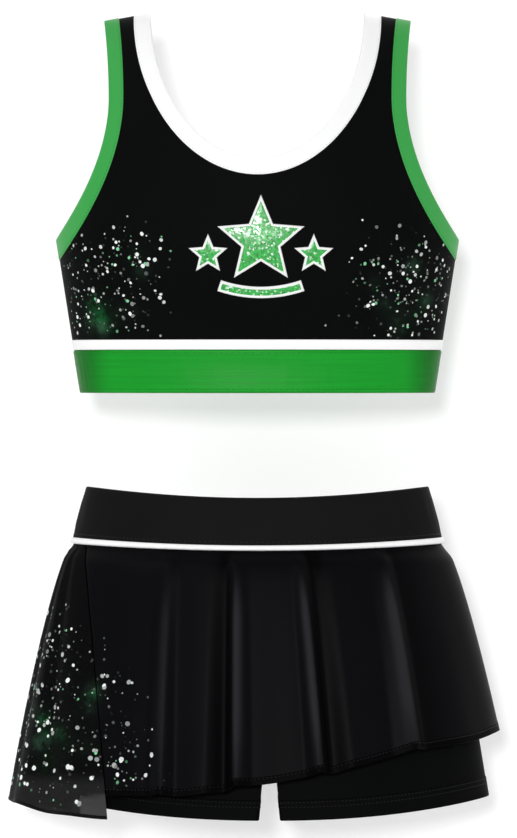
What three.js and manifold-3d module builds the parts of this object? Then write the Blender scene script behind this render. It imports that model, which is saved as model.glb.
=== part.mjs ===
// Two-piece cheer uniform in its worn shape: a scoop-neck crop top above a skort.
// Millimetres, +Z up, the wearer faces -Y, +X is to the right of a person looking at the front.
// The origin is the centre of the waist opening, at the height of the skort's waist seam at the sides.
import * as THREE from 'three';
import { mergeVertices } from 'three/addons/utils/BufferGeometryUtils.js';
import Module from 'manifold-3d';

const wasm = await Module();
wasm.setup();

// ---------------------------------------------------------------- driving dimensions

// Cloth and sewing
const GAP = 0.3; // space between pieces that are sewn together
const FABRIC = 2; // wall of the double-knit outer panels
const LINING = 1; // wall of the inner lining
const TRIM_PROUD = 0.5; // how far a folded binding stands out of its panel on each side
const EMBLEM = 0.8; // wall of the applique pieces
const ELASTIC = 1.6; // thickness of the elastic tapes
const CASING_WALL = 1.1; // one layer of a casing folded round its elastic

// Crop top
const TOP_HEM_HEIGHT = 129.4; // lower edge of the top above the waist seam
const TOP_LENGTH = 334.4; // lower edge to the highest point of the shoulder
const BAND_HEIGHT = 37.4; // wide underbust band
const STRIPE_HEIGHT = 8.8; // narrow stripe above the band
const UNDERARM_HEIGHT = 135.1; // lower edge to the corner of the armhole
const UNDERBUST_HALF_WIDTH = 155.7;
const UNDERBUST_FRONT_DEPTH = 80;
const UNDERBUST_BACK_DEPTH = 78;
const BUST_HALF_WIDTH = 177;
const BUST_FRONT_DEPTH = 106;
const BUST_BACK_DEPTH = 90;
const SHOULDER_HALF_WIDTH = 150; // of the body form, outside the straps
const SHOULDER_SLOPE = 0.18; // drop per millimetre outwards along the strap's top
const NECK_HALF_WIDTH = 109; // outer edge of the neck binding at the shoulder
const NECK_DEPTH = 144.4; // shoulder to the outer edge of the binding at the centre
const NECK_BINDING = 15;
const BACK_NECK_RISE = 2.5; // the back neck sits this much higher
const STRAP_TRIM_WIDTH = 26; // from the neck binding's outer edge to the armhole's edge
const ARMHOLE_HOLLOW = 4.5; // how far the armhole's edge curves in below the shoulder
const ARM_BINDING = 13.5;
const TAPE_REACH = 9; // the shoulder tape reaches this far to each side of the seam

// Applique: three stars over an arc. It fills the panel between these two clear spaces.
const EMBLEM_CENTRE_X = 3;
const EMBLEM_BELOW_NECK = 17.4; // clear space under the neck binding
const EMBLEM_ABOVE_STRIPE = 35.7; // clear space over the stripe

// Proportions of the applique, in parts of the big star's radius
const SMALL_STAR = 0.45;
const STAR_SPREAD = 1.15;
const STAR_DROP = 0.3;
const OUTLINE = 0.0875;
const ARC_DROP = 1.25; // lowest point of the arc below the big star's centre
const ARC_CURVE = 2.95; // radius of the arc
const ARC_BREADTH = 0.25;
const ARC_HALF_SPAN = 0.95;

// Skort
const WAISTBAND_HEIGHT = 47.5;
const WAIST_TOP_HALF_WIDTH = 150.5;
const WAIST_TOP_DEPTH = 75;
const SEAM_HALF_WIDTH = 163;
const SEAM_DEPTH = 81;
const WAIST_TOP_DIP = 10.6; // the rim is this much lower at the centre than at the sides
const SEAM_DIP = 6.2;
const PIPING = 5.2; // height of the piping at the waist seam
const SHORTS_LENGTH = 243.8; // waist seam to the lowest point of the leg hems
const SHORTS_INSET = 7; // the shorts lie this far inside the waist seam
const SHORTS_FLARE = 40; // added to the half width by the end of the legs
const SHORTS_DEPTH_FLARE = 22;
const CROTCH_DEPTH = 154;
const CROTCH_OFFSET = 10.5; // the leg split sits to one side of the waist's centre
const LEG_SPLIT_HALF_WIDTH = 7; // half the gap between the two leg hems
const LEG_HEM_RISE = 19.2; // the hems rise this much from the split to the outer side
const LEG_HEM = 18;
const FLOUNCE_LENGTH = 230; // length at which the flounce has its full flare
const FLOUNCE_TOP = 28; // the free part of the flounce starts this far below the seam
const FLOUNCE_FLARE = 59;
const FLOUNCE_SWAY = 4.5; // its lower edge hangs this far to the short side
const FLOUNCE_STANDS_OUT = 3; // in front of the waist seam, at its very top
const FLOUNCE_DEPTH_FLARE = 42;
const HEADING_END = 33; // lower edge of the fixed strip that carries the flounce
const HEADING_INSET = 4.5; // the strip lies this far inside the flounce
const HEADING_WALL = 1.5;
const FLOUNCE_HEM = 7;
const FRONT_DROP = 221.8; // length of the front flounce on its long side
const SHORT_SIDE_DROP = 162; // length of the front flounce on its short side
const HEM_TURN_X = -60; // where its lower edge starts to rise
const BACK_HEM_RISE = 2; // the back flounce is this much shorter
const SLIT = 2; // open space at each free edge of the side panel
const MESH_DROP = 242.4; // length of the sheer side panel at its front edge
const MESH_SIDE_DROP = 228; // and at the side
const MESH_WALL = 1;
const MESH_BINDING = 3.2;
const FRONT_SLIT_TOP_X = -150;
const FRONT_SLIT_HEM_X = -130.5;
const BACK_SLIT_TOP_X = -167;
const BACK_SLIT_HEM_X = -164;

// Facets
const SEGMENTS = 32; // round the body
const CURVE_STEPS = 10; // along a cut edge
const REACH = 600; // longer than the uniform, for the cutting shapes

// ---------------------------------------------------------------- heights worked out from them

const bandTop = TOP_HEM_HEIGHT + BAND_HEIGHT;
const stripeTop = bandTop + GAP + STRIPE_HEIGHT;
const panelBottom = stripeTop + GAP;
const underarm = TOP_HEM_HEIGHT + UNDERARM_HEIGHT;
const shoulder = TOP_HEM_HEIGHT + TOP_LENGTH;
const shortsTop = -PIPING / 2 - GAP;
const legEnd = -SHORTS_LENGTH;

// ---------------------------------------------------------------- materials

const fabric = (color, roughness, metalness = 0) =>
  new THREE.MeshStandardMaterial({ color, roughness, metalness });
const BLACK = fabric(0x121214, 0.62);
const SHEER = fabric(0x1c1c1e, 0.75);
const GREEN = fabric(0x1e9a34, 0.34);
const WHITE = fabric(0xf2f2f2, 0.6);
const INNER = fabric(0x1a1a1c, 0.8);
const ELASTIC_WHITE = fabric(0xe4e2dc, 0.85);

// ---------------------------------------------------------------- body forms

const { lerp, clamp, smoothstep } = THREE.MathUtils;

// A form gives the body's outline at each height, and how a height shifts round the body.
const topForm = {
  roundness: 2.3,
  halfWidth: (z) => (z < underarm
    ? lerp(UNDERBUST_HALF_WIDTH, BUST_HALF_WIDTH, clamp((z - TOP_HEM_HEIGHT) / UNDERARM_HEIGHT, 0, 1))
    : lerp(BUST_HALF_WIDTH, SHOULDER_HALF_WIDTH, (z - underarm) / (shoulder - underarm))),
  frontDepth: (z) => chestDepth(z, UNDERBUST_FRONT_DEPTH, BUST_FRONT_DEPTH),
  backDepth: (z) => chestDepth(z, UNDERBUST_BACK_DEPTH, BUST_BACK_DEPTH),
  settle: (x, y, z) => {
    const slope = SHOULDER_SLOPE * smoothstep(z, underarm, shoulder);
    const inner = NECK_HALF_WIDTH - NECK_BINDING;
    return [x, y, z - slope * Math.max(0, Math.abs(x) - inner)];
  },
};

// Full at the bust, then rounding over to nothing along the top of the shoulder.
function chestDepth(z, underbustDepth, bustDepth) {
  if (z < underarm) {
    return lerp(underbustDepth, bustDepth, smoothstep(z, TOP_HEM_HEIGHT + BAND_HEIGHT / 2, underarm));
  }
  const rise = clamp((z - underarm) / (shoulder - underarm), 0, 1);
  return bustDepth * Math.sqrt(1 - rise ** 2.4);
}

// The waist rim and the seam are lower at the centre front and back than at the sides.
function waistDip(z) {
  return z > 0
    ? lerp(SEAM_DIP, WAIST_TOP_DIP, z / WAISTBAND_HEIGHT)
    : SEAM_DIP * clamp(1 + z / HEADING_END, 0, 1);
}

function dipAtCentre(x, y, z, angle) {
  return [x, y, z - waistDip(z) * Math.sin(angle) ** 2];
}

const waistForm = {
  roundness: 2,
  halfWidth: (z) => lerp(SEAM_HALF_WIDTH, WAIST_TOP_HALF_WIDTH, z / WAISTBAND_HEIGHT),
  frontDepth: (z) => lerp(SEAM_DEPTH, WAIST_TOP_DEPTH, z / WAISTBAND_HEIGHT),
  backDepth: (z) => lerp(SEAM_DEPTH, WAIST_TOP_DEPTH, z / WAISTBAND_HEIGHT),
  settle: dipAtCentre,
};

// How far down the shorts a height is, from the waist seam to the leg hems.
const legShare = (z) => Math.max(0, -z / SHORTS_LENGTH);
const shortsForm = {
  roundness: 2,
  halfWidth: (z) => SEAM_HALF_WIDTH - SHORTS_INSET + SHORTS_FLARE * legShare(z),
  frontDepth: (z) => SEAM_DEPTH - SHORTS_INSET + SHORTS_DEPTH_FLARE * legShare(z),
  backDepth: (z) => SEAM_DEPTH - SHORTS_INSET + SHORTS_DEPTH_FLARE * legShare(z),
  settle: (x, y, z, angle) => {
    const shift = CROTCH_OFFSET * smoothstep(-z, CROTCH_DEPTH / 2, CROTCH_DEPTH);
    return dipAtCentre(x + shift, y, z, angle);
  },
};

// The flounce flares quickly over the hip and more slowly towards its hem.
const flare = (z) => Math.max(0, -z / FLOUNCE_LENGTH) ** 0.75;
const flounceForm = {
  roundness: 2,
  halfWidth: (z) => SEAM_HALF_WIDTH + FLOUNCE_FLARE * flare(z),
  frontDepth: (z) => SEAM_DEPTH + FLOUNCE_STANDS_OUT + FLOUNCE_DEPTH_FLARE * flare(z),
  backDepth: (z) => SEAM_DEPTH + FLOUNCE_STANDS_OUT + FLOUNCE_DEPTH_FLARE * flare(z),
  settle: (x, y, z, angle) => dipAtCentre(x + FLOUNCE_SWAY * flare(z), y, z, angle),
};

// The point of a form at an angle round the body and a height, moved out of the surface by offset.
function placeOnForm(form, angle, z, offset) {
  const step = 0.5;
  const depth = (height) => (form.frontDepth(height) + form.backDepth(height)) / 2;
  const slope = (depth(z + step) - depth(z - step)) / (2 * step);
  const out = offset / Math.hypot(1, slope);
  const side = (z < underarm - step || form !== topForm) ? 0 : -slope * out;
  const power = 2 / form.roundness;
  const bulge = (value) => Math.sign(value) * Math.abs(value) ** power;
  const deep = Math.sin(angle) < 0 ? form.frontDepth(z) : form.backDepth(z);
  const x = (form.halfWidth(z) + out) * bulge(Math.cos(angle));
  const y = (deep + out) * bulge(Math.sin(angle));
  return form.settle(x, y, z + side, angle);
}

// ---------------------------------------------------------------- solids

// Turns a closed geometry into a solid, facing it outwards first.
function solidOf(geometry) {
  const bare = geometry.clone();
  bare.deleteAttribute('normal');
  bare.deleteAttribute('uv');
  const merged = mergeVertices(bare, 1e-3);
  const vertProperties = new Float32Array(merged.attributes.position.array);
  const triVerts = dropSlivers(merged.index.array);
  if (signedVolume(vertProperties, triVerts) < 0) triVerts.reverse();
  return new wasm.Manifold(new wasm.Mesh({ numProp: 3, vertProperties, triVerts }));
}

// A lathe's triangles at the axis have two equal corners once they are merged.
function dropSlivers(index) {
  const kept = [];
  for (let i = 0; i < index.length; i += 3) {
    const [a, b, c] = [index[i], index[i + 1], index[i + 2]];
    if (a !== b && b !== c && c !== a) kept.push(a, b, c);
  }
  return new Uint32Array(kept);
}

function signedVolume(position, index) {
  const corner = (i) => new THREE.Vector3().fromArray(position, 3 * index[i]);
  let sum = 0;
  for (let i = 0; i < index.length; i += 3) {
    sum += corner(i).dot(corner(i + 1).cross(corner(i + 2)));
  }
  return sum / 6;
}

function geometryOf(solid) {
  const mesh = solid.getMesh();
  const geometry = new THREE.BufferGeometry();
  geometry.setAttribute('position', new THREE.BufferAttribute(new Float32Array(mesh.vertProperties), 3));
  geometry.setIndex(new THREE.BufferAttribute(new Uint32Array(mesh.triVerts), 1));
  geometry.computeVertexNormals();
  return geometry;
}

const LATHE_RADIUS = 100;

// A filled form between its lowest and highest levels, moved in or out by offset.
function filledForm(form, levels, offset) {
  const profile = levels.map((z) => new THREE.Vector2(LATHE_RADIUS, z));
  profile.unshift(new THREE.Vector2(0, levels[0]));
  profile.push(new THREE.Vector2(0, levels[levels.length - 1]));
  const lathe = new THREE.LatheGeometry(profile, SEGMENTS);
  const position = lathe.attributes.position;
  for (let i = 0; i < position.count; i += 1) {
    const [x, z, y] = [position.getX(i), position.getY(i), position.getZ(i)];
    const filled = Math.hypot(x, y) / LATHE_RADIUS;
    const [px, py, pz] = placeOnForm(form, Math.atan2(y, x), z, offset);
    const axis = placeOnForm(form, Math.PI / 2, z, offset)[2];
    position.setXYZ(i, px * filled, py * filled, filled > 0.5 ? pz : axis);
  }
  return solidOf(lathe);
}

// A ring round a form. Its section is a closed outline of [offset, height] corners.
function formRing(form, section) {
  const outline = [...section, section[0]];
  const profile = outline.map(([offset, z]) => new THREE.Vector2(LATHE_RADIUS + offset, z));
  const lathe = new THREE.LatheGeometry(profile, SEGMENTS);
  const position = lathe.attributes.position;
  for (let i = 0; i < position.count; i += 1) {
    const [x, z, y] = [position.getX(i), position.getY(i), position.getZ(i)];
    const offset = Math.hypot(x, y) - LATHE_RADIUS;
    position.setXYZ(i, ...placeOnForm(form, Math.atan2(y, x), z, offset));
  }
  return solidOf(lathe);
}

// A cloth wall round a form, through the given levels, between two offsets.
function formWall(form, levels, outer, inner) {
  const outside = levels.map((z) => [outer, z]);
  const inside = levels.map((z) => [inner, z]).reverse();
  return formRing(form, [...outside, ...inside]);
}

// An outline seen from the front, pushed through the whole depth of the body.
function cutter(shape, near = -REACH, far = REACH, curveSegments = CURVE_STEPS) {
  const geometry = new THREE.ExtrudeGeometry(shape, {
    depth: far - near, bevelEnabled: false, curveSegments,
  });
  geometry.rotateX(Math.PI / 2); // the outline's up becomes +Z and the push becomes -Y
  geometry.translate(0, far, 0);
  return solidOf(geometry);
}

const outline = (points) => new THREE.Shape(points.map(([x, z]) => new THREE.Vector2(x, z)));
const rectangle = (x0, x1, z0, z1) => outline([[x0, z0], [x1, z0], [x1, z1], [x0, z1]]);
const slab = (z0, z1) => cutter(rectangle(-REACH, REACH, z0, z1));
const frontHalf = () => cutter(rectangle(-REACH, REACH, -REACH, REACH), -REACH, -GAP / 2);
const backHalf = () => cutter(rectangle(-REACH, REACH, -REACH, REACH), GAP / 2, REACH);

// ---------------------------------------------------------------- scene graph

const group = new THREE.Group();

function addPiece(name, solid, material, parent = group) {
  const mesh = new THREE.Mesh(geometryOf(solid), material);
  mesh.name = name;
  parent.add(mesh);
}

const cropTop = new THREE.Group();
const skort = new THREE.Group();
group.add(cropTop, skort);

// ---------------------------------------------------------------- crop top: cut edges

// The neck opening, grown from the binding's outer edge by grow.
function neckHole(grow, rise = 0) {
  const halfWidth = NECK_HALF_WIDTH + grow;
  const depth = NECK_DEPTH + grow - rise;
  const shape = new THREE.Shape();
  shape.moveTo(halfWidth, shoulder + REACH);
  shape.lineTo(-halfWidth, shoulder + REACH);
  shape.lineTo(-halfWidth, shoulder);
  shape.absellipse(0, shoulder, halfWidth, depth, Math.PI, 2 * Math.PI, false);
  return cutter(shape);
}

// The free edge of the armhole: nearly upright below the shoulder, then sweeping out to the side seam.
function armholeEdge(fraction) {
  const turn = 0.37; // where along its height the edge is closest to the neck
  const strapEdge = NECK_HALF_WIDTH + STRAP_TRIM_WIDTH;
  const narrow = strapEdge - ARMHOLE_HOLLOW;
  const z = lerp(shoulder, underarm, fraction);
  if (fraction < turn) return new THREE.Vector2(narrow + ARMHOLE_HOLLOW * (1 - fraction / turn) ** 2, z);
  const sweep = ((fraction - turn) / (1 - turn)) ** 1.85;
  return new THREE.Vector2(lerp(narrow, BUST_HALF_WIDTH, sweep), z);
}

// Everything outside the armhole's edge, moved towards the body's middle by grow.
function armHole(side, grow) {
  const points = [];
  const past = 0.22; // the edge is carried on past the side seam
  for (let i = 0; i <= CURVE_STEPS; i += 1) {
    const fraction = (1 + past) * (i / CURVE_STEPS);
    const here = armholeEdge(fraction);
    const along = armholeEdge(fraction + 0.01).sub(here).normalize();
    points.push([side * (here.x + grow * along.y), here.y - grow * along.x]);
  }
  points[0][1] = shoulder + REACH;
  const [lastX, lastZ] = points[points.length - 1];
  points.push([side * REACH, lastZ - (REACH - Math.abs(lastX)) * 2], [side * REACH, shoulder + REACH]);
  return cutter(outline(side > 0 ? points.reverse() : points));
}

const topLevels = [
  panelBottom, lerp(panelBottom, underarm, 0.5), underarm,
  ...[0.2, 0.42, 0.62, 0.79, 0.91, 0.97, 0.999].map((rise) => lerp(underarm, shoulder, rise)),
];

// The wall of the top between two offsets: open below, closed over the shoulders.
function topWall(outer, inner) {
  const lower = [panelBottom - REACH / 100, ...topLevels];
  return filledForm(topForm, topLevels, outer).subtract(filledForm(topForm, lower, inner));
}

const frontHole = neckHole(0);
const sides = { left: -1, right: 1 };

// ---------------------------------------------------------------- crop top: panels and linings

function topPanel(wall, half, rise) {
  return wall.intersect(half)
    .subtract(neckHole(GAP / 2, rise))
    .subtract(armHole(-1, ARM_BINDING + GAP / 2))
    .subtract(armHole(1, ARM_BINDING + GAP / 2));
}

const outerWall = topWall(0, -FABRIC);
const liningWall = topWall(-FABRIC - GAP, -FABRIC - GAP - LINING);
addPiece('top_front_panel', topPanel(outerWall, frontHalf(), 0), BLACK, cropTop);
addPiece('top_back_panel', topPanel(outerWall, backHalf(), BACK_NECK_RISE), BLACK, cropTop);
addPiece('top_front_lining', topPanel(liningWall, frontHalf(), 0), INNER, cropTop);
addPiece('top_back_lining', topPanel(liningWall, backHalf(), BACK_NECK_RISE), INNER, cropTop);

// ---------------------------------------------------------------- crop top: bindings

const trimWall = topWall(TRIM_PROUD, -FABRIC - TRIM_PROUD);
const wholeFront = cutter(rectangle(-REACH, REACH, -REACH, REACH), -REACH, 0);
const wholeBack = cutter(rectangle(-REACH, REACH, -REACH, REACH), 0, REACH);

function neckBand(half, rise) {
  return trimWall.intersect(half)
    .intersect(neckHole(-GAP / 2, rise))
    .subtract(neckHole(-NECK_BINDING, rise));
}

addPiece('neck_binding', neckBand(wholeFront, 0).add(neckBand(wholeBack, BACK_NECK_RISE)), WHITE, cropTop);

for (const [name, side] of Object.entries(sides)) {
  const band = trimWall.intersect(armHole(side, ARM_BINDING - GAP / 2)).subtract(armHole(side, 0));
  addPiece(`armhole_binding_${name}`, band, GREEN, cropTop);
}

// A tape inside each shoulder seam keeps the strap from stretching.
for (const [name, side] of Object.entries(sides)) {
  const tape = topWall(-FABRIC - 2 * GAP - LINING, -FABRIC - 2 * GAP - 2 * LINING)
    .intersect(cutter(rectangle(-REACH, REACH, underarm, REACH + shoulder), -TAPE_REACH, TAPE_REACH))
    .intersect(cutter(rectangle(
      side * NECK_HALF_WIDTH + (side > 0 ? 1 : -STRAP_TRIM_WIDTH + ARM_BINDING + 1),
      side * NECK_HALF_WIDTH + (side > 0 ? STRAP_TRIM_WIDTH - ARM_BINDING - 1 : -1),
      (underarm + shoulder) / 2, REACH + shoulder,
    )));
  addPiece(`shoulder_tape_${name}`, tape, ELASTIC_WHITE, cropTop);
}

// ---------------------------------------------------------------- crop top: underbust band

const bandOut = TRIM_PROUD;
const bandIn = -FABRIC - ELASTIC;

// The casing is one strip folded at the lower edge, open at the top round the elastic.
function foldedCasing(form, foldZ, openZ, outer, inner) {
  const floor = foldZ + Math.sign(openZ - foldZ) * CASING_WALL;
  return formRing(form, [
    [outer, foldZ], [outer, openZ], [outer - CASING_WALL, openZ], [outer - CASING_WALL, floor],
    [inner + CASING_WALL, floor], [inner + CASING_WALL, openZ], [inner, openZ], [inner, foldZ],
  ]);
}

addPiece('underbust_band', foldedCasing(topForm, TOP_HEM_HEIGHT, bandTop, bandOut, bandIn), GREEN, cropTop);
addPiece('underbust_elastic', formWall(
  topForm, [TOP_HEM_HEIGHT + CASING_WALL + GAP, bandTop - GAP],
  bandOut - CASING_WALL - GAP, bandIn + CASING_WALL + GAP,
), ELASTIC_WHITE, cropTop);
addPiece('underbust_stripe', formWall(
  topForm, [bandTop + GAP, stripeTop], TRIM_PROUD, -FABRIC - TRIM_PROUD,
), WHITE, cropTop);

// ---------------------------------------------------------------- crop top: applique

const neckBottom = shoulder - NECK_DEPTH;
const emblemHeight = neckBottom - panelBottom - EMBLEM_BELOW_NECK - EMBLEM_ABOVE_STRIPE;
const bigStar = emblemHeight / (1 + ARC_DROP);
const emblemZ = neckBottom - EMBLEM_BELOW_NECK - bigStar;
const outlineWidth = OUTLINE * bigStar;

function starShape(x, z, radius) {
  const points = [];
  const waist = 0.45; // inner corners as a share of the star's radius
  for (let i = 0; i < 10; i += 1) {
    const angle = Math.PI / 2 + (i * Math.PI) / 5;
    const reach = i % 2 ? radius * waist : radius;
    points.push([x + reach * Math.cos(angle), z + reach * Math.sin(angle)]);
  }
  return outline(points);
}

function arcShape(x, z, shrink) {
  const radius = ARC_CURVE * bigStar;
  const inner = radius - ARC_BREADTH * bigStar;
  const halfAngle = Math.asin(ARC_HALF_SPAN / ARC_CURVE) - shrink / radius;
  const down = -Math.PI / 2;
  const centre = z + radius;
  const shape = new THREE.Shape();
  shape.absarc(x, centre, radius - shrink, down - halfAngle, down + halfAngle, false);
  shape.absarc(x, centre, inner + shrink, down + halfAngle, down - halfAngle, true);
  shape.closePath();
  return shape;
}

const appliqueLevels = topLevels.filter((z) => z < underarm + 0.4 * (shoulder - underarm));
const applique = formWall(topForm, appliqueLevels, EMBLEM + GAP, GAP).intersect(wholeFront);

function addApplique(name, shapeAt) {
  const cut = (shrink) => cutter(shapeAt(shrink), -REACH, REACH, CURVE_STEPS / 2);
  const rim = applique.intersect(cut(0)).subtract(cut(outlineWidth));
  addPiece(`${name}_outline`, rim, WHITE, cropTop);
  addPiece(name, applique.intersect(cut(outlineWidth + GAP)), GREEN, cropTop);
}

// Shrinking a star evenly takes this much off its radius for each millimetre of edge.
const STAR_EDGE = 1.9;
const smallStarZ = emblemZ - STAR_DROP * bigStar;
addApplique('emblem_star_centre', (shrink) =>
  starShape(EMBLEM_CENTRE_X, emblemZ, bigStar - STAR_EDGE * shrink));
for (const [name, side] of Object.entries(sides)) {
  const smallStarX = EMBLEM_CENTRE_X + side * STAR_SPREAD * bigStar;
  addApplique(`emblem_star_${name}`, (shrink) =>
    starShape(smallStarX, smallStarZ, SMALL_STAR * bigStar - STAR_EDGE * shrink));
}
addApplique('emblem_arc', (shrink) => arcShape(EMBLEM_CENTRE_X, emblemZ - ARC_DROP * bigStar, shrink * 0.8));

// ---------------------------------------------------------------- blank care labels

const LABEL_WIDTH = 30;
const LABEL_HEIGHT = 14;
const LABEL_WALL = 0.5;

function careLabel(y, z) {
  const label = new THREE.BoxGeometry(LABEL_WIDTH, LABEL_WALL, LABEL_HEIGHT);
  label.translate(0, y, z);
  return solidOf(label);
}

const liningInside = FABRIC + 2 * GAP + LINING + LABEL_WALL;
const labelSpace = 6; // the labels hang clear of the curved wall behind them
addPiece('top_care_label', careLabel(
  UNDERBUST_BACK_DEPTH - liningInside - labelSpace, panelBottom + LABEL_HEIGHT,
), WHITE, cropTop);
addPiece('skort_care_label', careLabel(
  WAIST_TOP_DEPTH - liningInside - labelSpace, WAISTBAND_HEIGHT / 2 - WAIST_TOP_DIP,
), WHITE, skort);

// ---------------------------------------------------------------- skort: waistband and piping

const casingBottom = PIPING / 2 + GAP;
addPiece('waistband', foldedCasing(waistForm, WAISTBAND_HEIGHT, casingBottom, 0, bandIn), BLACK, skort);
addPiece('waistband_elastic', formWall(
  waistForm, [casingBottom + GAP, WAISTBAND_HEIGHT - CASING_WALL - GAP],
  -CASING_WALL - GAP, bandIn + CASING_WALL + GAP,
), ELASTIC_WHITE, skort);

const pipingRound = PIPING * 0.3;
const pipingInner = -SHORTS_INSET - FABRIC;
addPiece('waist_piping', formRing(waistForm, [
  [pipingInner, -PIPING / 2], [TRIM_PROUD, -PIPING / 2], [TRIM_PROUD + 1, -PIPING / 2 + pipingRound],
  [TRIM_PROUD + 1, PIPING / 2 - pipingRound], [TRIM_PROUD, PIPING / 2], [pipingInner, PIPING / 2],
]), WHITE, skort);

// ---------------------------------------------------------------- skort: shorts

const shortsLevels = [
  legEnd - LEG_HEM, -CROTCH_DEPTH, ...[0.8, 0.6, 0.3].map((part) => -part * CROTCH_DEPTH), shortsTop,
];

// The space between the legs: a narrow wedge that opens downwards, widened all round by grow.
function legSplit(grow) {
  const drop = SHORTS_LENGTH - CROTCH_DEPTH;
  const foot = LEG_SPLIT_HALF_WIDTH * ((drop + REACH) / drop) + grow;
  return cutter(outline([
    [CROTCH_OFFSET - grow - 0.5, -CROTCH_DEPTH + grow], [CROTCH_OFFSET - foot, legEnd - REACH],
    [CROTCH_OFFSET + foot, legEnd - REACH], [CROTCH_OFFSET + grow + 0.5, -CROTCH_DEPTH + grow],
  ]));
}

// Both legs and the seat as one wall between two offsets.
function shortsWall(outer, inner) {
  const longer = shortsLevels.map((z, i) => {
    if (i === 0) return z - REACH / 100;
    return i === shortsLevels.length - 1 ? 0 : z;
  });
  const outside = filledForm(shortsForm, shortsLevels, outer).subtract(legSplit(-outer));
  return outside.subtract(filledForm(shortsForm, longer, inner).subtract(legSplit(-inner)));
}

// Below the hem line, raised by lift.
function legHemRegion(lift) {
  const points = [];
  const halfSpan = SEAM_HALF_WIDTH - SHORTS_INSET + SHORTS_FLARE;
  for (let i = -CURVE_STEPS; i <= CURVE_STEPS; i += 1) {
    const across = (1.2 * i) / CURVE_STEPS;
    const rise = LEG_HEM_RISE * Math.abs(across) ** 2.2;
    points.push([CROTCH_OFFSET + across * halfSpan, legEnd + rise + lift]);
  }
  points.push([REACH, -2 * REACH], [-REACH, -2 * REACH]);
  return cutter(outline(points.reverse()));
}

// One side of the centre seam, which leans towards the leg split.
function seamSide(side) {
  const edge = side * (GAP / 2);
  const points = [[edge, REACH], [edge, 0], [CROTCH_OFFSET + edge, -CROTCH_DEPTH],
    [CROTCH_OFFSET + edge, -REACH], [side * REACH, -REACH], [side * REACH, REACH]];
  return cutter(outline(side > 0 ? points.reverse() : points));
}

const shorts = shortsWall(0, -FABRIC).subtract(legHemRegion(LEG_HEM + GAP));
const hemWall = shortsWall(TRIM_PROUD, -FABRIC - TRIM_PROUD)
  .intersect(legHemRegion(LEG_HEM)).subtract(legHemRegion(0));
for (const [name, side] of Object.entries(sides)) {
  const half = shorts.intersect(seamSide(side));
  addPiece(`shorts_front_${name}`, half.intersect(frontHalf()), BLACK, skort);
  addPiece(`shorts_back_${name}`, half.intersect(backHalf()), BLACK, skort);
  addPiece(`leg_hem_${name}`, hemWall.intersect(seamSide(side)), BLACK, skort);
}

// The lining of the gusset is folded over the top of the leg split, inside the shorts.
const GUSSET_HALF_LENGTH = 45;
const GUSSET_DROP = 24;
const gussetIn = FABRIC + GAP;
const gussetTop = -CROTCH_DEPTH + gussetIn;
const gussetLean = (LEG_SPLIT_HALF_WIDTH / (SHORTS_LENGTH - CROTCH_DEPTH)) * (GUSSET_DROP + gussetIn) + 0.5;
addPiece('gusset_lining', cutter(outline([
  [CROTCH_OFFSET - gussetIn - LINING - gussetLean, gussetTop - GUSSET_DROP],
  [CROTCH_OFFSET - gussetIn - gussetLean, gussetTop - GUSSET_DROP],
  [CROTCH_OFFSET - gussetIn - 0.5, gussetTop],
  [CROTCH_OFFSET + gussetIn + 0.5, gussetTop],
  [CROTCH_OFFSET + gussetIn + gussetLean, gussetTop - GUSSET_DROP],
  [CROTCH_OFFSET + gussetIn + LINING + gussetLean, gussetTop - GUSSET_DROP],
  [CROTCH_OFFSET + gussetIn + LINING + 0.5, gussetTop + LINING],
  [CROTCH_OFFSET - gussetIn - LINING - 0.5, gussetTop + LINING],
]), -GUSSET_HALF_LENGTH, GUSSET_HALF_LENGTH), INNER, skort);

// ---------------------------------------------------------------- skort: flounce

addPiece('flounce_heading', formWall(
  flounceForm, [-HEADING_END, shortsTop], -HEADING_INSET, -HEADING_INSET - HEADING_WALL,
), BLACK, skort);

const flounceEnd = -MESH_DROP - FLOUNCE_HEM;
const flounceLevels = [flounceEnd, ...[0.75, 0.5, 0.28, 0.12].map((part) => part * flounceEnd), -FLOUNCE_TOP]
  .sort((a, b) => a - b);

// Height of the flounce's lower edge across the body: long on one side, rising to the short side.
function flounceHem(x) {
  const end = SEAM_HALF_WIDTH + FLOUNCE_FLARE * flare(-SHORT_SIDE_DROP) + FLOUNCE_SWAY;
  const rising = Math.max(0, (x - HEM_TURN_X) / (end - HEM_TURN_X));
  return -FRONT_DROP + (FRONT_DROP - SHORT_SIDE_DROP) * rising ** 1.7;
}

function meshHem(x) {
  const sideX = -SEAM_HALF_WIDTH - FLOUNCE_FLARE;
  const across = clamp((x - FRONT_SLIT_HEM_X) / (sideX - FRONT_SLIT_HEM_X), 0, 1.2);
  return -MESH_DROP + (MESH_DROP - MESH_SIDE_DROP) * across ** 2;
}

// Everything below a lower edge that is given as a height for each place across the body.
function belowEdge(edge, lift) {
  const points = [];
  const span = SEAM_HALF_WIDTH + FLOUNCE_FLARE + 20;
  for (let i = -CURVE_STEPS; i <= CURVE_STEPS; i += 1) {
    const x = (span * i) / CURVE_STEPS;
    points.push([x, edge(x) + lift]);
  }
  points.push([REACH, -2 * REACH], [-REACH, -2 * REACH]);
  return cutter(outline(points.reverse()));
}

// The side panel's share of the flounce: left of the slit line, moved across by shift.
function sidePanelRegion(topX, hemX, shift) {
  const lean = (hemX - topX) / (MESH_DROP - FLOUNCE_TOP);
  const high = REACH - FLOUNCE_TOP;
  const low = REACH;
  return cutter(outline([
    [-REACH, high], [-REACH, -low], [hemX + lean * (low - MESH_DROP) + shift, -low],
    [topX - lean * REACH + shift, high],
  ]));
}

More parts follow.
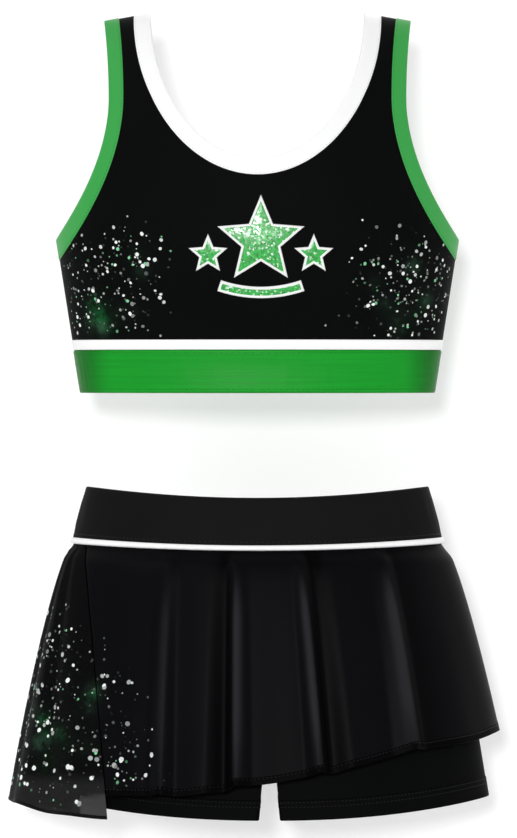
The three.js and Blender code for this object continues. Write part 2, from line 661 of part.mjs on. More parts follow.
const frontSlit = (shift) => sidePanelRegion(FRONT_SLIT_TOP_X, FRONT_SLIT_HEM_X, shift);
const backSlit = (shift) => sidePanelRegion(BACK_SLIT_TOP_X, BACK_SLIT_HEM_X, shift);
const flounceWall = formWall(flounceForm, flounceLevels, 0, -FABRIC);
const flounceHemWall = formWall(flounceForm, flounceLevels, TRIM_PROUD, -FABRIC - TRIM_PROUD);
const openFront = cutter(rectangle(-REACH, REACH, -REACH, REACH), -REACH, -SLIT / 2);
const openBack = cutter(rectangle(-REACH, REACH, -REACH, REACH), SLIT / 2, REACH);

function addFlounce(name, half, slit, rise) {
  const panel = flounceWall.intersect(half).subtract(slit(SLIT / 2));
  const hem = flounceHemWall.intersect(half).subtract(slit(SLIT / 2));
  const below = (lift) => belowEdge(flounceHem, rise + lift);
  addPiece(`${name}_flounce_panel`, panel.subtract(below(FLOUNCE_HEM + GAP)), BLACK, skort);
  addPiece(`${name}_flounce_hem`, hem.intersect(below(FLOUNCE_HEM)).subtract(below(0)), BLACK, skort);
}

addFlounce('front', openFront, frontSlit, 0);
addFlounce('back', openBack, backSlit, BACK_HEM_RISE);

// The sheer side panel runs from the front slit round the side to the back slit.
const sidePanel = (wall) => wall.intersect(
  wholeFront.intersect(frontSlit(-SLIT / 2)).add(wholeBack.intersect(backSlit(-SLIT / 2))),
);
const meshWall = formWall(flounceForm, flounceLevels, -MESH_WALL / 2, -MESH_WALL * 1.5);
const meshTrimWall = formWall(flounceForm, flounceLevels, 0, -FABRIC);
addPiece('side_mesh_panel', sidePanel(meshWall)
  .subtract(belowEdge(meshHem, MESH_BINDING + GAP)), SHEER, skort);
addPiece('side_mesh_binding', sidePanel(meshTrimWall)
  .intersect(belowEdge(meshHem, MESH_BINDING)).subtract(belowEdge(meshHem, 0)), BLACK, skort);

export default group;
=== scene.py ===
# Two-piece cheer uniform in its worn shape: a scoop-neck crop top above a skort with a flounce.
# The forms are worked out in millimetres, with the part's own sizes, and every mesh is made in metres.
# An angle goes round the body from +X, and its sine is below nothing at the front.
import bisect
import functools
import math
import random

import bmesh
import bpy
from bpy.props import FloatProperty, FloatVectorProperty, IntProperty, PointerProperty
from mathutils import Matrix, Vector, noise
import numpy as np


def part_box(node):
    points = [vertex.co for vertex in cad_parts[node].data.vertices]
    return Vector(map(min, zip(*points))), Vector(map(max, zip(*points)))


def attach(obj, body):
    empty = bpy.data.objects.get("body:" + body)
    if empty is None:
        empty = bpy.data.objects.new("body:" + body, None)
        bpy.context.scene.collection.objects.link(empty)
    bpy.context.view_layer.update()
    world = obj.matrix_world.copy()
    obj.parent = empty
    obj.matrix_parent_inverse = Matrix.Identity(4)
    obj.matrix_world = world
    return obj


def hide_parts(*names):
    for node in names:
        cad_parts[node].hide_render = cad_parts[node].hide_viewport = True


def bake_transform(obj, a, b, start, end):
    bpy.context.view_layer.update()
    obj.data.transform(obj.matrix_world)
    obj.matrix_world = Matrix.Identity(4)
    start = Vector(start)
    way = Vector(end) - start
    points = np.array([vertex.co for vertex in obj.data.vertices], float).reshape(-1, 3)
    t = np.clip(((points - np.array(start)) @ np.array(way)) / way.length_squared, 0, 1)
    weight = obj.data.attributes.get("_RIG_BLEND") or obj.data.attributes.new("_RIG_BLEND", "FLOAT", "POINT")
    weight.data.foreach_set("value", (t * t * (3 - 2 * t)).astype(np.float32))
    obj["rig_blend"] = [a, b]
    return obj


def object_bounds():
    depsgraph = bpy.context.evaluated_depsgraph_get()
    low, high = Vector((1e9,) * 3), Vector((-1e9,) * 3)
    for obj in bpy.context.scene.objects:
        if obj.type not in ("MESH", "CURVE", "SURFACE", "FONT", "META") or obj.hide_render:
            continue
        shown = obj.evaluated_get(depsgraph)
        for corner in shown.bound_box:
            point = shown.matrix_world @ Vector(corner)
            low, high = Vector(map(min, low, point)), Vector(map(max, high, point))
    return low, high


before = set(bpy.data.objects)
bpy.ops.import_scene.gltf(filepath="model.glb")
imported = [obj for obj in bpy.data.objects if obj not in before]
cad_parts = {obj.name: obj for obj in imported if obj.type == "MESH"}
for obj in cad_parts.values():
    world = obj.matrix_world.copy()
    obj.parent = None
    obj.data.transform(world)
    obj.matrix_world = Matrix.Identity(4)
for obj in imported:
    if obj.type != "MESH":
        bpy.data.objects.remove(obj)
CAD_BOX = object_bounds()

bl_info = {
    "name": "Cheer Uniform",
    "version": (1, 0, 0),
    "blender": (4, 5, 0),
    "location": "View3D > Sidebar > Uniform",
    "description": "Makes a crop top and a skort, piece by piece, around their frame",
    "category": "Object",
}

MM = 0.001
FRONT, BACK = -1, 1
LEFT, RIGHT = -1, 1
SIDE_NAMES = {LEFT: "left", RIGHT: "right"}
FACE_NAMES = {FRONT: "front", BACK: "back"}

# Cloth
FABRIC, LINING, GAP, PROUD = 2.0, 1.0, 0.3, 0.5
TUCK = 3.0  # how far a panel runs on under its binding
SWEEP_STEPS = (0.0015, 0.4)  # share and millimetres over which a trim's surface is measured
FORM_STEPS = (0.01, 0.5)  # angle and millimetres over which a form's surface is measured
STITCH, DOT_THICKNESS = (1.15, 0.3, 0.22), 0.14  # half sizes
# The crest attribute paints light on the folds: above FLAT_CREST the cloth is coloured lighter as a painted
# highlight, below it darker as painted shade.
FLAT_CREST = 0.3  # what the crest attribute is where the cloth hangs flat

# Crop top
TOP_HEM, UNDERARM, SHOULDER = 129.4, 264.5, 463.8
BAND_TOP, STRIPE_LOW, STRIPE_TOP = 166.8, 167.1, 175.9
UNDERBUST_HALF, BUST_HALF, SHOULDER_HALF = 155.7, 177.0, 150.0
CHEST_DEPTH = {FRONT: (80.0, 106.0), BACK: (78.0, 90.0)}
CHEST_ROUNDNESS, SHOULDER_SLOPE, RIDGE_POWER = 2.3, 0.18, 2.4
NECK_HALF, NECK_DEPTH, NECK_BINDING = 109.0, 144.4, 15.0
NECK_RISE = {FRONT: 0.0, BACK: 2.5}
STRAP_EDGE, ARM_HOLLOW, ARM_TURN, ARM_BINDING = 135.0, 4.5, 0.37, 13.5
EMBLEM_X, EMBLEM_Z, EMBLEM_SIZE = 3.0, 261.96, 40.04

# Skort
WAIST_TOP, WAIST_HALF, WAIST_DEPTH = 47.5, 150.5, 75.0
SEAM_HALF, SEAM_DEPTH, PIPING = 163.0, 81.0, 5.2
WAIST_DIP, SEAM_DIP, DIP_END = 10.6, 6.2, 33.0
LEG_LENGTH, LEG_FLARE, LEG_DEPTH_FLARE, LEG_INSET = 243.8, 40.0, 22.0, 7.0
CROTCH, CROTCH_X, LEG_GAP, LEG_RISE, LEG_HEM = 154.0, 10.5, 7.0, 19.2, 18.0
FLOUNCE_LENGTH, FLOUNCE_FLARE, FLOUNCE_SWAY, FLOUNCE_DEPTH = 230.0, 59.0, 4.5, 42.0
FLOUNCE_HEM, FLOUNCE_DROP, SHORT_DROP, HEM_TURN = 7.0, 221.8, 162.0, -60.0
MESH_DROP, MESH_SIDE_DROP, MESH_BINDING = 242.4, 228.0, 3.2
SLIT = {FRONT: 0.9, BACK: 3.0}  # the width of the slit beside the side panel
SIDE_OPENING = 0.018  # half the opening at the short side, as an angle
HEM_LIFT, HEM_SAG = 5.0, 5.5  # how far the hem is drawn up in the middle, and hangs down at the short side
LEG_DRAWN_IN = 2.6  # how much wider the split is at the legs' hems, on each side
SLIT_TOP_Z, SLIT_X = 28.0, {FRONT: (-150.0, -130.5), BACK: (-167.0, -164.0)}


# ------------------------------------------------------------------ measures

def lerp(a, b, share):
    return a + (b - a) * share


def clamp(value, low=0.0, high=1.0):
    return max(low, min(high, value))


def smooth(value, low=0.0, high=1.0):
    share = clamp((value - low) / (high - low))
    return share * share * (3 - 2 * share)


def round_body(half_width, depth, angle, roundness=2.0):
    across, along = math.cos(angle), math.sin(angle)
    power = 2 / roundness
    return (half_width * math.copysign(abs(across) ** power, across),
            depth * math.copysign(abs(along) ** power, along))


def lifted(surface, a, b, out, steps):
    """The place on a surface, moved out of it by out along its normal."""
    here = surface(a, b)
    if not out:
        return here
    along = surface(a + steps[0], b) - surface(a - steps[0], b)
    up = surface(a, b + steps[1]) - surface(a, b - steps[1])
    return here + along.cross(up).normalized() * out


def evened(curve, samples=360):
    """A measure that turns even shares of a curve's length into the curve's own shares, and the length."""
    points = [curve(i / samples) for i in range(samples + 1)]
    reach = [0.0]
    for here, ahead in zip(points, points[1:]):
        reach.append(reach[-1] + (ahead - here).length)

    def measure(share):
        want = clamp(share) * reach[-1]
        i = clamp(bisect.bisect_right(reach, want) - 1, 0, samples - 1)
        return (i + (want - reach[i]) / max(1e-9, reach[i + 1] - reach[i])) / samples

    return measure, reach[-1]


def evenly(loop, across):
    """The same loop with its shares spaced evenly along its length at across, and that length."""
    measure, length = evened(lambda share: loop(share, across))

    def surface(share, across):
        return loop(math.floor(share) + measure(share % 1.0), across)

    return surface, length


# ------------------------------------------------------------------ the top's form

# A level is 0 at the underarm and 1 on the ridge of the shoulder. Past 1 it comes down on the other side.
def chest_height(level):
    if level <= 0:
        return UNDERARM + (SHOULDER - UNDERARM) * level
    rise = abs(math.sin(level * math.pi / 2)) ** (2 / RIDGE_POWER)
    return UNDERARM + (SHOULDER - UNDERARM) * rise


def chest_level(z):
    rise = (z - UNDERARM) / (SHOULDER - UNDERARM)
    return rise if rise <= 0 else math.asin(clamp(rise) ** (RIDGE_POWER / 2)) * 2 / math.pi


def chest_half(z):
    if z < UNDERARM:
        return lerp(UNDERBUST_HALF, BUST_HALF, clamp((z - TOP_HEM) / (UNDERARM - TOP_HEM)))
    return lerp(BUST_HALF, SHOULDER_HALF, clamp((z - UNDERARM) / (SHOULDER - UNDERARM)))


def chest_point(angle, level):
    z = chest_height(level)
    low, high = CHEST_DEPTH[FRONT if math.sin(angle) < 0 else BACK]
    if level <= 0:
        depth = lerp(low, high, smooth(z, (TOP_HEM + BAND_TOP) / 2, UNDERARM))
    else:
        depth = high * math.cos(level * math.pi / 2)
    x, y = round_body(chest_half(z), depth, angle, CHEST_ROUNDNESS)
    slope = SHOULDER_SLOPE * smooth(z, UNDERARM, SHOULDER)
    return Vector((x, y, z - slope * max(0.0, abs(x) - NECK_HALF + NECK_BINDING)))


def chest_angle(x, z, face):
    share = clamp(abs(x) / chest_half(z)) ** (CHEST_ROUNDNESS / 2)
    return face * math.acos(math.copysign(share, x))


def chest_at(x, z, face=FRONT):
    return chest_point(chest_angle(x, z, face), chest_level(z))


def chest_lifted(x, z, out, face=FRONT):
    return lifted(chest_point, chest_angle(x, z, face), chest_level(z), out, (0.01, 0.01))


def neck_edge(turn, grow, face):
    """The neck opening's edge: x and height at a turn from 0 at the right shoulder to pi at the left one."""
    depth = NECK_DEPTH + grow - NECK_RISE[face]
    return (NECK_HALF + grow) * math.cos(turn), SHOULDER - depth * math.sin(turn)


def arm_edge(fraction, grow, side):
    """The armhole's edge, from the shoulder at 0 to the side seam at 1, moved in by grow."""
    def edge(f):
        z = lerp(SHOULDER, UNDERARM, f)
        narrow = STRAP_EDGE - ARM_HOLLOW
        if f < ARM_TURN:
            return narrow + ARM_HOLLOW * (1 - f / ARM_TURN) ** 2, z
        return lerp(narrow, BUST_HALF, ((f - ARM_TURN) / (1 - ARM_TURN)) ** 1.85), z

    (x, z), (x_ahead, z_ahead) = edge(fraction), edge(fraction + 0.01)
    length = math.hypot(x_ahead - x, z_ahead - z)
    over, down = (x_ahead - x) / length, (z_ahead - z) / length
    return side * (x + grow * down), z - grow * over * clamp(fraction / 0.1)


@functools.lru_cache(maxsize=None)
def arm_end(grow):
    """Where the armhole's edge, moved in by grow, meets the side seam."""
    low, high = 0.8, 1.4
    for _ in range(40):
        middle = (low + high) / 2
        x, z = arm_edge(middle, grow, RIGHT)
        low, high = (middle, high) if x < chest_half(z) else (low, middle)
    return low


def neck_loop(share, grow):
    """Round the neck: over the front from the right shoulder to the left, and back behind."""
    share %= 1.0
    face = FRONT if share < 0.5 else BACK
    part = smooth(2 * share % 1.0)
    turn = math.pi * (part if face == FRONT else 1 - part)
    return chest_at(*neck_edge(turn, grow, face), face)


def arm_loop(share, grow, side):
    """Round an armhole: up the front from the side seam to the shoulder, and down behind."""
    share %= 1.0
    face = FRONT if share < 0.5 else BACK
    part = smooth(2 * share % 1.0)
    fraction = (1 - part if face == FRONT else part) * arm_end(round(grow, 4))
    return chest_at(*arm_edge(fraction, grow, side), face)


# ------------------------------------------------------------------ the skort's forms

def dipped(x, y, z, angle):
    dip = lerp(SEAM_DIP, WAIST_DIP, z / WAIST_TOP) if z > 0 else SEAM_DIP * clamp(1 + z / DIP_END)
    return Vector((x, y, z - dip * math.sin(angle) ** 2))


def waist_point(angle, z):
    share = z / WAIST_TOP
    x, y = round_body(lerp(SEAM_HALF, WAIST_HALF, share), lerp(SEAM_DEPTH, WAIST_DEPTH, share), angle)
    return dipped(x, y, z, angle)


def leg_share(z):
    return max(0.0, -z / LEG_LENGTH)


def leg_shift(z):
    return CROTCH_X * smooth(-z, CROTCH / 2, CROTCH)


def shorts_half(z):
    return SEAM_HALF - LEG_INSET + LEG_FLARE * leg_share(z)


def shorts_point(angle, z):
    depth = SEAM_DEPTH - LEG_INSET + LEG_DEPTH_FLARE * leg_share(z)
    x, y = round_body(shorts_half(z), depth, angle)
    return dipped(x + leg_shift(z), y, z, angle)


def leg_inner_x(z, side):
    """The centre seam above the leg split, and the inner side of a leg below it."""
    if z > -CROTCH:
        return CROTCH_X * clamp(-z / CROTCH)
    return CROTCH_X + side * lerp(0.5, LEG_GAP + LEG_DRAWN_IN, clamp((-z - CROTCH) / (LEG_LENGTH - CROTCH)))


def leg_hem_height(x):
    return -LEG_LENGTH + LEG_RISE * (abs(x - CROTCH_X) / shorts_half(-LEG_LENGTH)) ** 2.2


def flare(z):
    return max(0.0, -z / FLOUNCE_LENGTH) ** 0.75


def flounce_half(z):
    return SEAM_HALF + FLOUNCE_FLARE * flare(z)


def flounce_point(angle, z):
    depth = SEAM_DEPTH + 3 * smooth(-z, 0, 24) + FLOUNCE_DEPTH * flare(z)
    x, y = round_body(flounce_half(z), depth, angle)
    return dipped(x + FLOUNCE_SWAY * flare(z), y, z, angle)


def flounce_turn(x, z):
    """The angle from +X, without its sign, at which the flounce's form is at x."""
    return math.acos(clamp((x - FLOUNCE_SWAY * flare(z)) / flounce_half(z), -1, 1))


def slit_turn(z, face, shift):
    top, low = SLIT_X[face]
    x = top + (low - top) * ((-z - SLIT_TOP_Z) / (MESH_DROP - SLIT_TOP_Z)) + shift
    return flounce_turn(max(x, -flounce_half(z) * 0.9999), z)


def flounce_hem_height(x):
    end = SEAM_HALF + FLOUNCE_FLARE * flare(-SHORT_DROP) + FLOUNCE_SWAY
    rising = max(0.0, (x - HEM_TURN) / (end - HEM_TURN))
    drape = HEM_LIFT * smooth(x, -75, -10) * (1 - smooth(x, 120, 185)) - HEM_SAG * smooth(x, 150, 205)
    return -FLOUNCE_DROP + (FLOUNCE_DROP - SHORT_DROP) * rising ** 1.7 + drape


def mesh_hem_height(x):
    near, far = SLIT_X[FRONT][1], -SEAM_HALF - FLOUNCE_FLARE
    return -MESH_DROP + (MESH_DROP - MESH_SIDE_DROP) * clamp((x - near) / (far - near), 0, 1.2) ** 2


class Hanging:
    """Cloth that hangs in folds from the waist seam, between a start and an end angle.

    keys are the folds: the angle at the seam, the angle at the hem, and the height from -1 to 1."""

    def __init__(self, start, end, keys, hem_height, depth, rise=0.0):
        self.start, self.end, self.hem_height = start, end, hem_height
        self.depth, self.rise = depth, rise
        low = -FLOUNCE_DROP
        self.keys = [(start(0), start(low), keys[0]), *keys[1:-1], (end(0), end(low), keys[-1])]
        reach = [0.0]
        for here, ahead in zip(self.keys, self.keys[1:]):
            reach.append(reach[-1] + abs(ahead[1] - here[1]))
        self.places = [r / reach[-1] for r in reach]

    def column(self, share, z):
        """The angle and the fold's height of a column of the cloth at a height."""
        i = int(clamp(bisect.bisect_right(self.places, share) - 1, 0, len(self.keys) - 2))
        part = clamp((share - self.places[i]) / (self.places[i + 1] - self.places[i]))
        down = clamp(flare(z) / flare(-FLOUNCE_DROP), 0, 1.2)

        def angle(k):
            if k == 0:
                return self.start(z)
            if k == len(self.keys) - 1:
                return self.end(z)
            return lerp(self.keys[k][0], self.keys[k][1], down)

        return lerp(angle(i), angle(i + 1), part), lerp(self.keys[i][2], self.keys[i + 1][2], smooth(part))

    def point(self, share, z):
        angle, height = self.column(share, z)
        tucked = -3.2 * (1 - smooth(-z, 3, 18))  # the top edge goes in behind the piping
        out = tucked + height * self.depth * (0.10 + 0.90 * clamp((-z - 4) / 215) ** 0.8) * smooth(-z, 1, 9)
        return lifted(flounce_point, angle, z, out, FORM_STEPS)

    def crest(self, share, down, here):
        """Painted highlight and painted shade on a fold: more painted highlight on a crest, painted shade in a
        hollow, and FLAT_CREST where the cloth hangs flat.
        """
        _, height = self.column(share, here.z)
        painted_light_and_wear = max(0.0, height) ** 2.2 * smooth(down, 0.03, 0.35) * (1 - 0.45 * smooth(down, 0.72, 1.0))
        return clamp(FLAT_CREST + (1 - FLAT_CREST) * painted_light_and_wear - FLAT_CREST * clamp(-height * 1.3))

    def hem(self, share):
        z = -FLOUNCE_DROP
        for _ in range(5):
            angle, height = self.column(share, z)
            z = self.hem_height(flounce_point(angle, z).x) + self.rise + 1.2 * height
        return z


# ------------------------------------------------------------------ meshes

def face_outwards(bm):
    """Makes the faces agree, and turns them away from the body's middle."""
    bmesh.ops.recalc_face_normals(bm, faces=bm.faces)
    outward = 0.0
    for face in bm.faces:
        middle = face.calc_center_median()
        outward += face.normal.dot(Vector((middle.x, middle.y, 0))) * face.calc_area()
    if outward < 0:
        bmesh.ops.reverse_faces(bm, faces=bm.faces)


def lay_grid(bm, columns, rows, place, flat, start=0.0, paint=None):
    """Adds a grid of cloth. place puts its shares across and along, and flat is its size before sewing.

    start is how far across the cut it begins, and paint names attributes and what gives their values."""
    layer = bm.loops.layers.uv.verify()
    floats = bm.verts.layers.float
    layers = {key: floats.get(key) or floats.new(key) for key in paint or {}}
    made = bmesh.ops.create_grid(bm, x_segments=columns, y_segments=rows, size=0.5)["verts"]
    shares = {vert: (clamp(vert.co.x + 0.5), clamp(vert.co.y + 0.5)) for vert in made}
    for face in {face for vert in made for face in vert.link_faces}:
        for loop in face.loops:
            u, v = shares[loop.vert]
            loop[layer].uv = ((start + u * flat[0]) * MM, v * flat[1] * MM)
    for vert, (u, v) in shares.items():
        here = place(u, v)
        vert.co = here * MM
        for key, painted in layers.items():
            vert[painted] = paint[key](u, v, here)


def object_of(name, bm, material, smooth_faces=True):
    mesh = bpy.data.meshes.new(name)
    for face in bm.faces:
        face.smooth = smooth_faces
    bm.to_mesh(mesh)
    bm.free()
    mesh.materials.append(material)
    obj = bpy.data.objects.new(name, mesh)
    bpy.context.scene.collection.objects.link(obj)
    return obj


def thicken(obj, wall, proud=0.0):
    """Gives a sheet its wall, which stands proud of its surface, and rounds the cut edges."""
    solid = obj.modifiers.new("Wall", "SOLIDIFY")
    solid.thickness = wall * MM
    solid.offset = 2 * proud / wall - 1
    bevel = obj.modifiers.new("Edge", "BEVEL")
    bevel.width, bevel.segments = 0.35 * MM, 2
    bevel.limit_method, bevel.angle_limit = "ANGLE", math.radians(50)
    return obj


def cloth(name, columns, rows, place, flat, material, wall=FABRIC, closed=False, paint=None, proud=0.0):
    bm = bmesh.new()
    lay_grid(bm, columns, rows, place, flat, paint=paint)
    if closed:
        bmesh.ops.remove_doubles(bm, verts=bm.verts, dist=1e-5)
    face_outwards(bm)
    return thicken(object_of(name, bm, material), wall, proud)


def rounded(low, high, inner, outer, radius, rows=2):
    """A closed section of (across, out) corners with rounded edges."""
    corners = []
    middles = ((high - radius, outer - radius), (low + radius, outer - radius),
               (low + radius, inner + radius), (high - radius, inner + radius))
    for i, (across, out) in enumerate(middles):
        for k in range(4):
            turn = (i + k / 3) * math.pi / 2
            corners.append((across + radius * math.cos(turn), out + radius * math.sin(turn)))
    section = []
    for here, ahead in zip(corners, corners[1:] + corners[:1]):
        section.append(here)
        if math.dist(here, ahead) > 2.5 * radius:
            section += [(lerp(here[0], ahead[0], k / (rows + 1)), lerp(here[1], ahead[1], k / (rows + 1)))
                        for k in range(1, rows + 1)]
    return section


def facing(surface, across, steps):
    """1 where a surface's own normal points away from the body's middle, and -1 where it points in."""
    total = 0.0
    for share in (0.1, 0.2, 0.3, 0.4, 0.6, 0.7, 0.8, 0.9):
        here = surface(share, across)
        normal = lifted(surface, share, across, 1.0, steps) - here
        total += normal.dot(Vector((here.x, here.y, 0)).normalized())
    return 1 if total > 0 else -1


def sweep(name, columns, section, surface, length, material, closed=True, ripple=None):
    """A trim: a closed section of (across, out) corners, carried along surface(share, across)."""
    sign = facing(surface, section[0][0], SWEEP_STEPS)
    reach = [0.0]
    for here, ahead in zip(section, section[1:] + section[:1]):
        reach.append(reach[-1] + math.dist(here, ahead))

    def place(u, v):
        across, out = section[round(v * len(section)) % len(section)]
        if ripple:
            out += ripple(u, across, out)
        share = u if closed else lerp(SWEEP_STEPS[0], 1 - SWEEP_STEPS[0], u)
        return lifted(surface, share, across, sign * out, SWEEP_STEPS)

    bm = bmesh.new()
    lay_grid(bm, columns, len(section), place, (length, reach[-1]))
    bmesh.ops.remove_doubles(bm, verts=bm.verts, dist=1e-6)
    if not closed:
        bmesh.ops.holes_fill(bm, edges=[edge for edge in bm.edges if edge.is_boundary])
    bmesh.ops.recalc_face_normals(bm, faces=bm.faces)
    return object_of(name, bm, material)


def beads(name, places, material, smooth_faces=True):
    """Small rounded shapes: each place is a point, its direction, its normal, three half sizes and a tone."""
    bm = bmesh.new()
    layer = bm.verts.layers.float.new("tone")
    for point, along, normal, sizes, tone in places:
        across = normal.cross(along).normalized()
        turned = Matrix((along.normalized(), across, normal.normalized())).transposed().to_4x4()
        matrix = (Matrix.Translation(point * MM) @ turned
                  @ Matrix.Diagonal((sizes[0] * MM, sizes[1] * MM, sizes[2] * MM, 1)))
        for vert in bmesh.ops.create_icosphere(bm, subdivisions=1, radius=1, matrix=matrix)["verts"]:
            vert[layer] = tone
    return object_of(name, bm, material, smooth_faces)


def stitches(name, surface, across, length, material, pitch, out, closed=True):
    """A row of thread stitches along surface(share, across)."""
    sign = facing(surface, across, SWEEP_STEPS)
    count = max(2, round(length / pitch))
    places = []
    for i in range(count if closed else count - 1):
        share = (i + 0.5) / count
        here = lifted(surface, share, across, sign * out, SWEEP_STEPS)
        ahead = lifted(surface, share + 0.002, across, sign * out, SWEEP_STEPS)
        up = lifted(surface, share, across, sign * (out + 1), SWEEP_STEPS) - here
        places.append((here, ahead - here, up, STITCH, 1.0))
    return beads(name, places, material)


def sew(obj, body, slot, *nodes):
    """Puts a piece on its body, and hides the solids it stands for. slot, its finish, is not used."""
    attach(obj, body)
    if nodes:
        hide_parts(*nodes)
    return obj


def hang(obj, body, slot, *nodes):
    """For cloth that is held at the waist seam and swings with its body below it: it blends from the skort at the
    seam to its body lower down, and hides the solids it stands for.
    """
    y = obj.data.vertices[0].co.y
    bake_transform(obj, "skort", body, (0, y, -0.004), (0, y, -0.056))
    if nodes:
        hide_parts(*nodes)
    return obj


def sewn_row(name, surface, across, length, material, body, slot, out=PROUD):
    pitch = bpy.context.scene.uniform_cloth.stitch_pitch / MM
    return sew(stitches(name, surface, across, length, material, pitch, out), body, slot)


# ------------------------------------------------------------------ properties

def colour(name, description, default):
    return FloatVectorProperty(name=name, description=description, default=default, subtype="COLOR",
                               size=3, min=0.0, max=1.0)


class UniformColours(bpy.types.PropertyGroup):
    """The colours of the cloths and trims."""
    black: colour("Black knit", "Cloth of the panels", (0.0026, 0.0028, 0.0028))
    waist: colour("Waistband", "Cloth of the waistband", (0.0066, 0.0066, 0.0070))
    flounce: colour("Flounce", "Cloth of the flounce", (0.0027, 0.0025, 0.0032))
    sheer: colour("Side panel", "Sheer cloth of the side panel", (0.0027, 0.0027, 0.0030))
    band: colour("Underbust band", "Shiny band under the bust", (0.010, 0.285, 0.022))
    binding: colour("Armhole binding", "Binding of the armholes", (0.036, 0.335, 0.062))
    white: colour("White trims", "Neck binding, stripe and piping", (0.90, 0.90, 0.90))
    haze: colour("Printed haze", "Green clouds of the print", (0.015, 0.24, 0.06))


class UniformCloth(bpy.types.PropertyGroup):
    """Sizes of the folds, the stitches and the print."""
    fold_depth: FloatProperty(name="Fold depth", description="Height of the flounce's folds at the hem",
                              default=0.0085, min=0.0, max=0.014, unit="LENGTH")
    mesh_fold_depth: FloatProperty(name="Side fold depth", description="Height of the side panel's folds",
                                   default=0.004, min=0.0, max=0.01, unit="LENGTH")
    stitch_pitch: FloatProperty(name="Stitch pitch", description="Length of one stitch and its space",
                                default=0.0034, min=0.0015, max=0.01, unit="LENGTH")
    top_dots: IntProperty(name="Dots on the top", description="Foil dots on each side of the top",
                          default=150, min=0, max=900)
    skirt_dots: IntProperty(name="Dots on the skort", description="Foil dots on the side of the skort",
                            default=190, min=0, max=900)


# ------------------------------------------------------------------ materials

def add(tree, kind, inputs=None, **settings):
    """A node with its settings, its plain values and the sockets that feed it."""
    node = tree.nodes.new(kind)
    for key, value in settings.items():
        setattr(node, key, value)
    for socket, value in (inputs or {}).items():
        if isinstance(value, bpy.types.NodeSocket):
            tree.links.new(value, node.inputs[socket])
        else:
            node.inputs[socket].default_value = value
    return node


def maths(tree, operation, a, b=0.0, c=0.0, limit=False):
    return add(tree, "ShaderNodeMath", {0: a, 1: b, 2: c}, operation=operation, use_clamp=limit).outputs[0]


def spread(tree, value, low, high, to_low=0.0, to_high=1.0):
    """Maps a value from one range to another with soft ends."""
    return add(tree, "ShaderNodeMapRange", {"Value": value, "From Min": low, "From Max": high,
               "To Min": to_low, "To Max": to_high}, interpolation_type="SMOOTHSTEP").outputs["Result"]


def mixed(tree, share, a, b):
    node = add(tree, "ShaderNodeMix", data_type="RGBA")
    for socket, value in zip((node.inputs[0], node.inputs[6], node.inputs[7]), (share, a, b)):
        if isinstance(value, bpy.types.NodeSocket):
            tree.links.new(value, socket)
        else:
            socket.default_value = value
    return node.outputs[2]


def texture_place(tree, source="Object"):
    return add(tree, "ShaderNodeTexCoord").outputs[source]


def coordinate(tree, source, axis):
    """One axis, from 0 to 2, of the Object coordinates or of the cloth's own map."""
    return add(tree, "ShaderNodeSeparateXYZ", {0: texture_place(tree, source)}).outputs[axis]


def attribute(tree, name):
    return add(tree, "ShaderNodeAttribute", attribute_name=name).outputs["Fac"]


def noise_of(tree, place, scale, detail=2.0, roughness=0.5):
    return add(tree, "ShaderNodeTexNoise", {"Vector": place, "Scale": scale, "Detail": detail,
                                            "Roughness": roughness}).outputs[0]


def new_group(name, inputs, outputs):
    """A node group with float inputs, given with their defaults, and its outputs with their kinds."""
    tree = bpy.data.node_groups.new(name, "ShaderNodeTree")
    for socket, default in inputs.items():
        made = tree.interface.new_socket(name=socket, in_out="INPUT", socket_type="NodeSocketFloat")
        made.default_value = default
    for socket, kind in outputs.items():
        tree.interface.new_socket(name=socket, in_out="OUTPUT", socket_type=kind)
    return tree, tree.nodes.new("NodeGroupInput"), tree.nodes.new("NodeGroupOutput")


def knit_group():
    """Knit stitches on the cloth's own map, and slow changes of tone."""
    tree, given, result = new_group("knit_relief", {"Stitches": 700.0, "Depth": 0.15, "Cloudiness": 0.3},
                                    {"Normal": "NodeSocketVector", "Tone": "NodeSocketFloat"})
    across, along = coordinate(tree, "UV", 0), coordinate(tree, "UV", 1)
    column = maths(tree, "PINGPONG", maths(tree, "MULTIPLY", across, given.outputs[0]), 0.5)
    course = maths(tree, "MULTIPLY_ADD", along, given.outputs[0], maths(tree, "MULTIPLY", column, 0.9))
    loop = maths(tree, "MULTIPLY", maths(tree, "PINGPONG", course, 0.5),
                 maths(tree, "POWER", maths(tree, "MULTIPLY", column, 2.0), 0.5))
    bump = add(tree, "ShaderNodeBump", {"Strength": given.outputs[1], "Distance": 0.0004, "Height": loop})
    cloud = noise_of(tree, texture_place(tree), 14.0, 3.0, 0.6)
    tone = maths(tree, "MULTIPLY_ADD", maths(tree, "SUBTRACT", cloud, 0.5), given.outputs[2], 1.0)
    tree.links.new(bump.outputs[0], result.inputs[0])
    tree.links.new(tone, result.inputs[1])
    return tree


# Layers of printed dots: the space between them, the largest radius as a share of it, and how many are kept
DUST_LAYERS = ((0.0064, 0.24, 0.7), (0.0043, 0.22, 0.5), (0.0098, 0.23, 0.6))


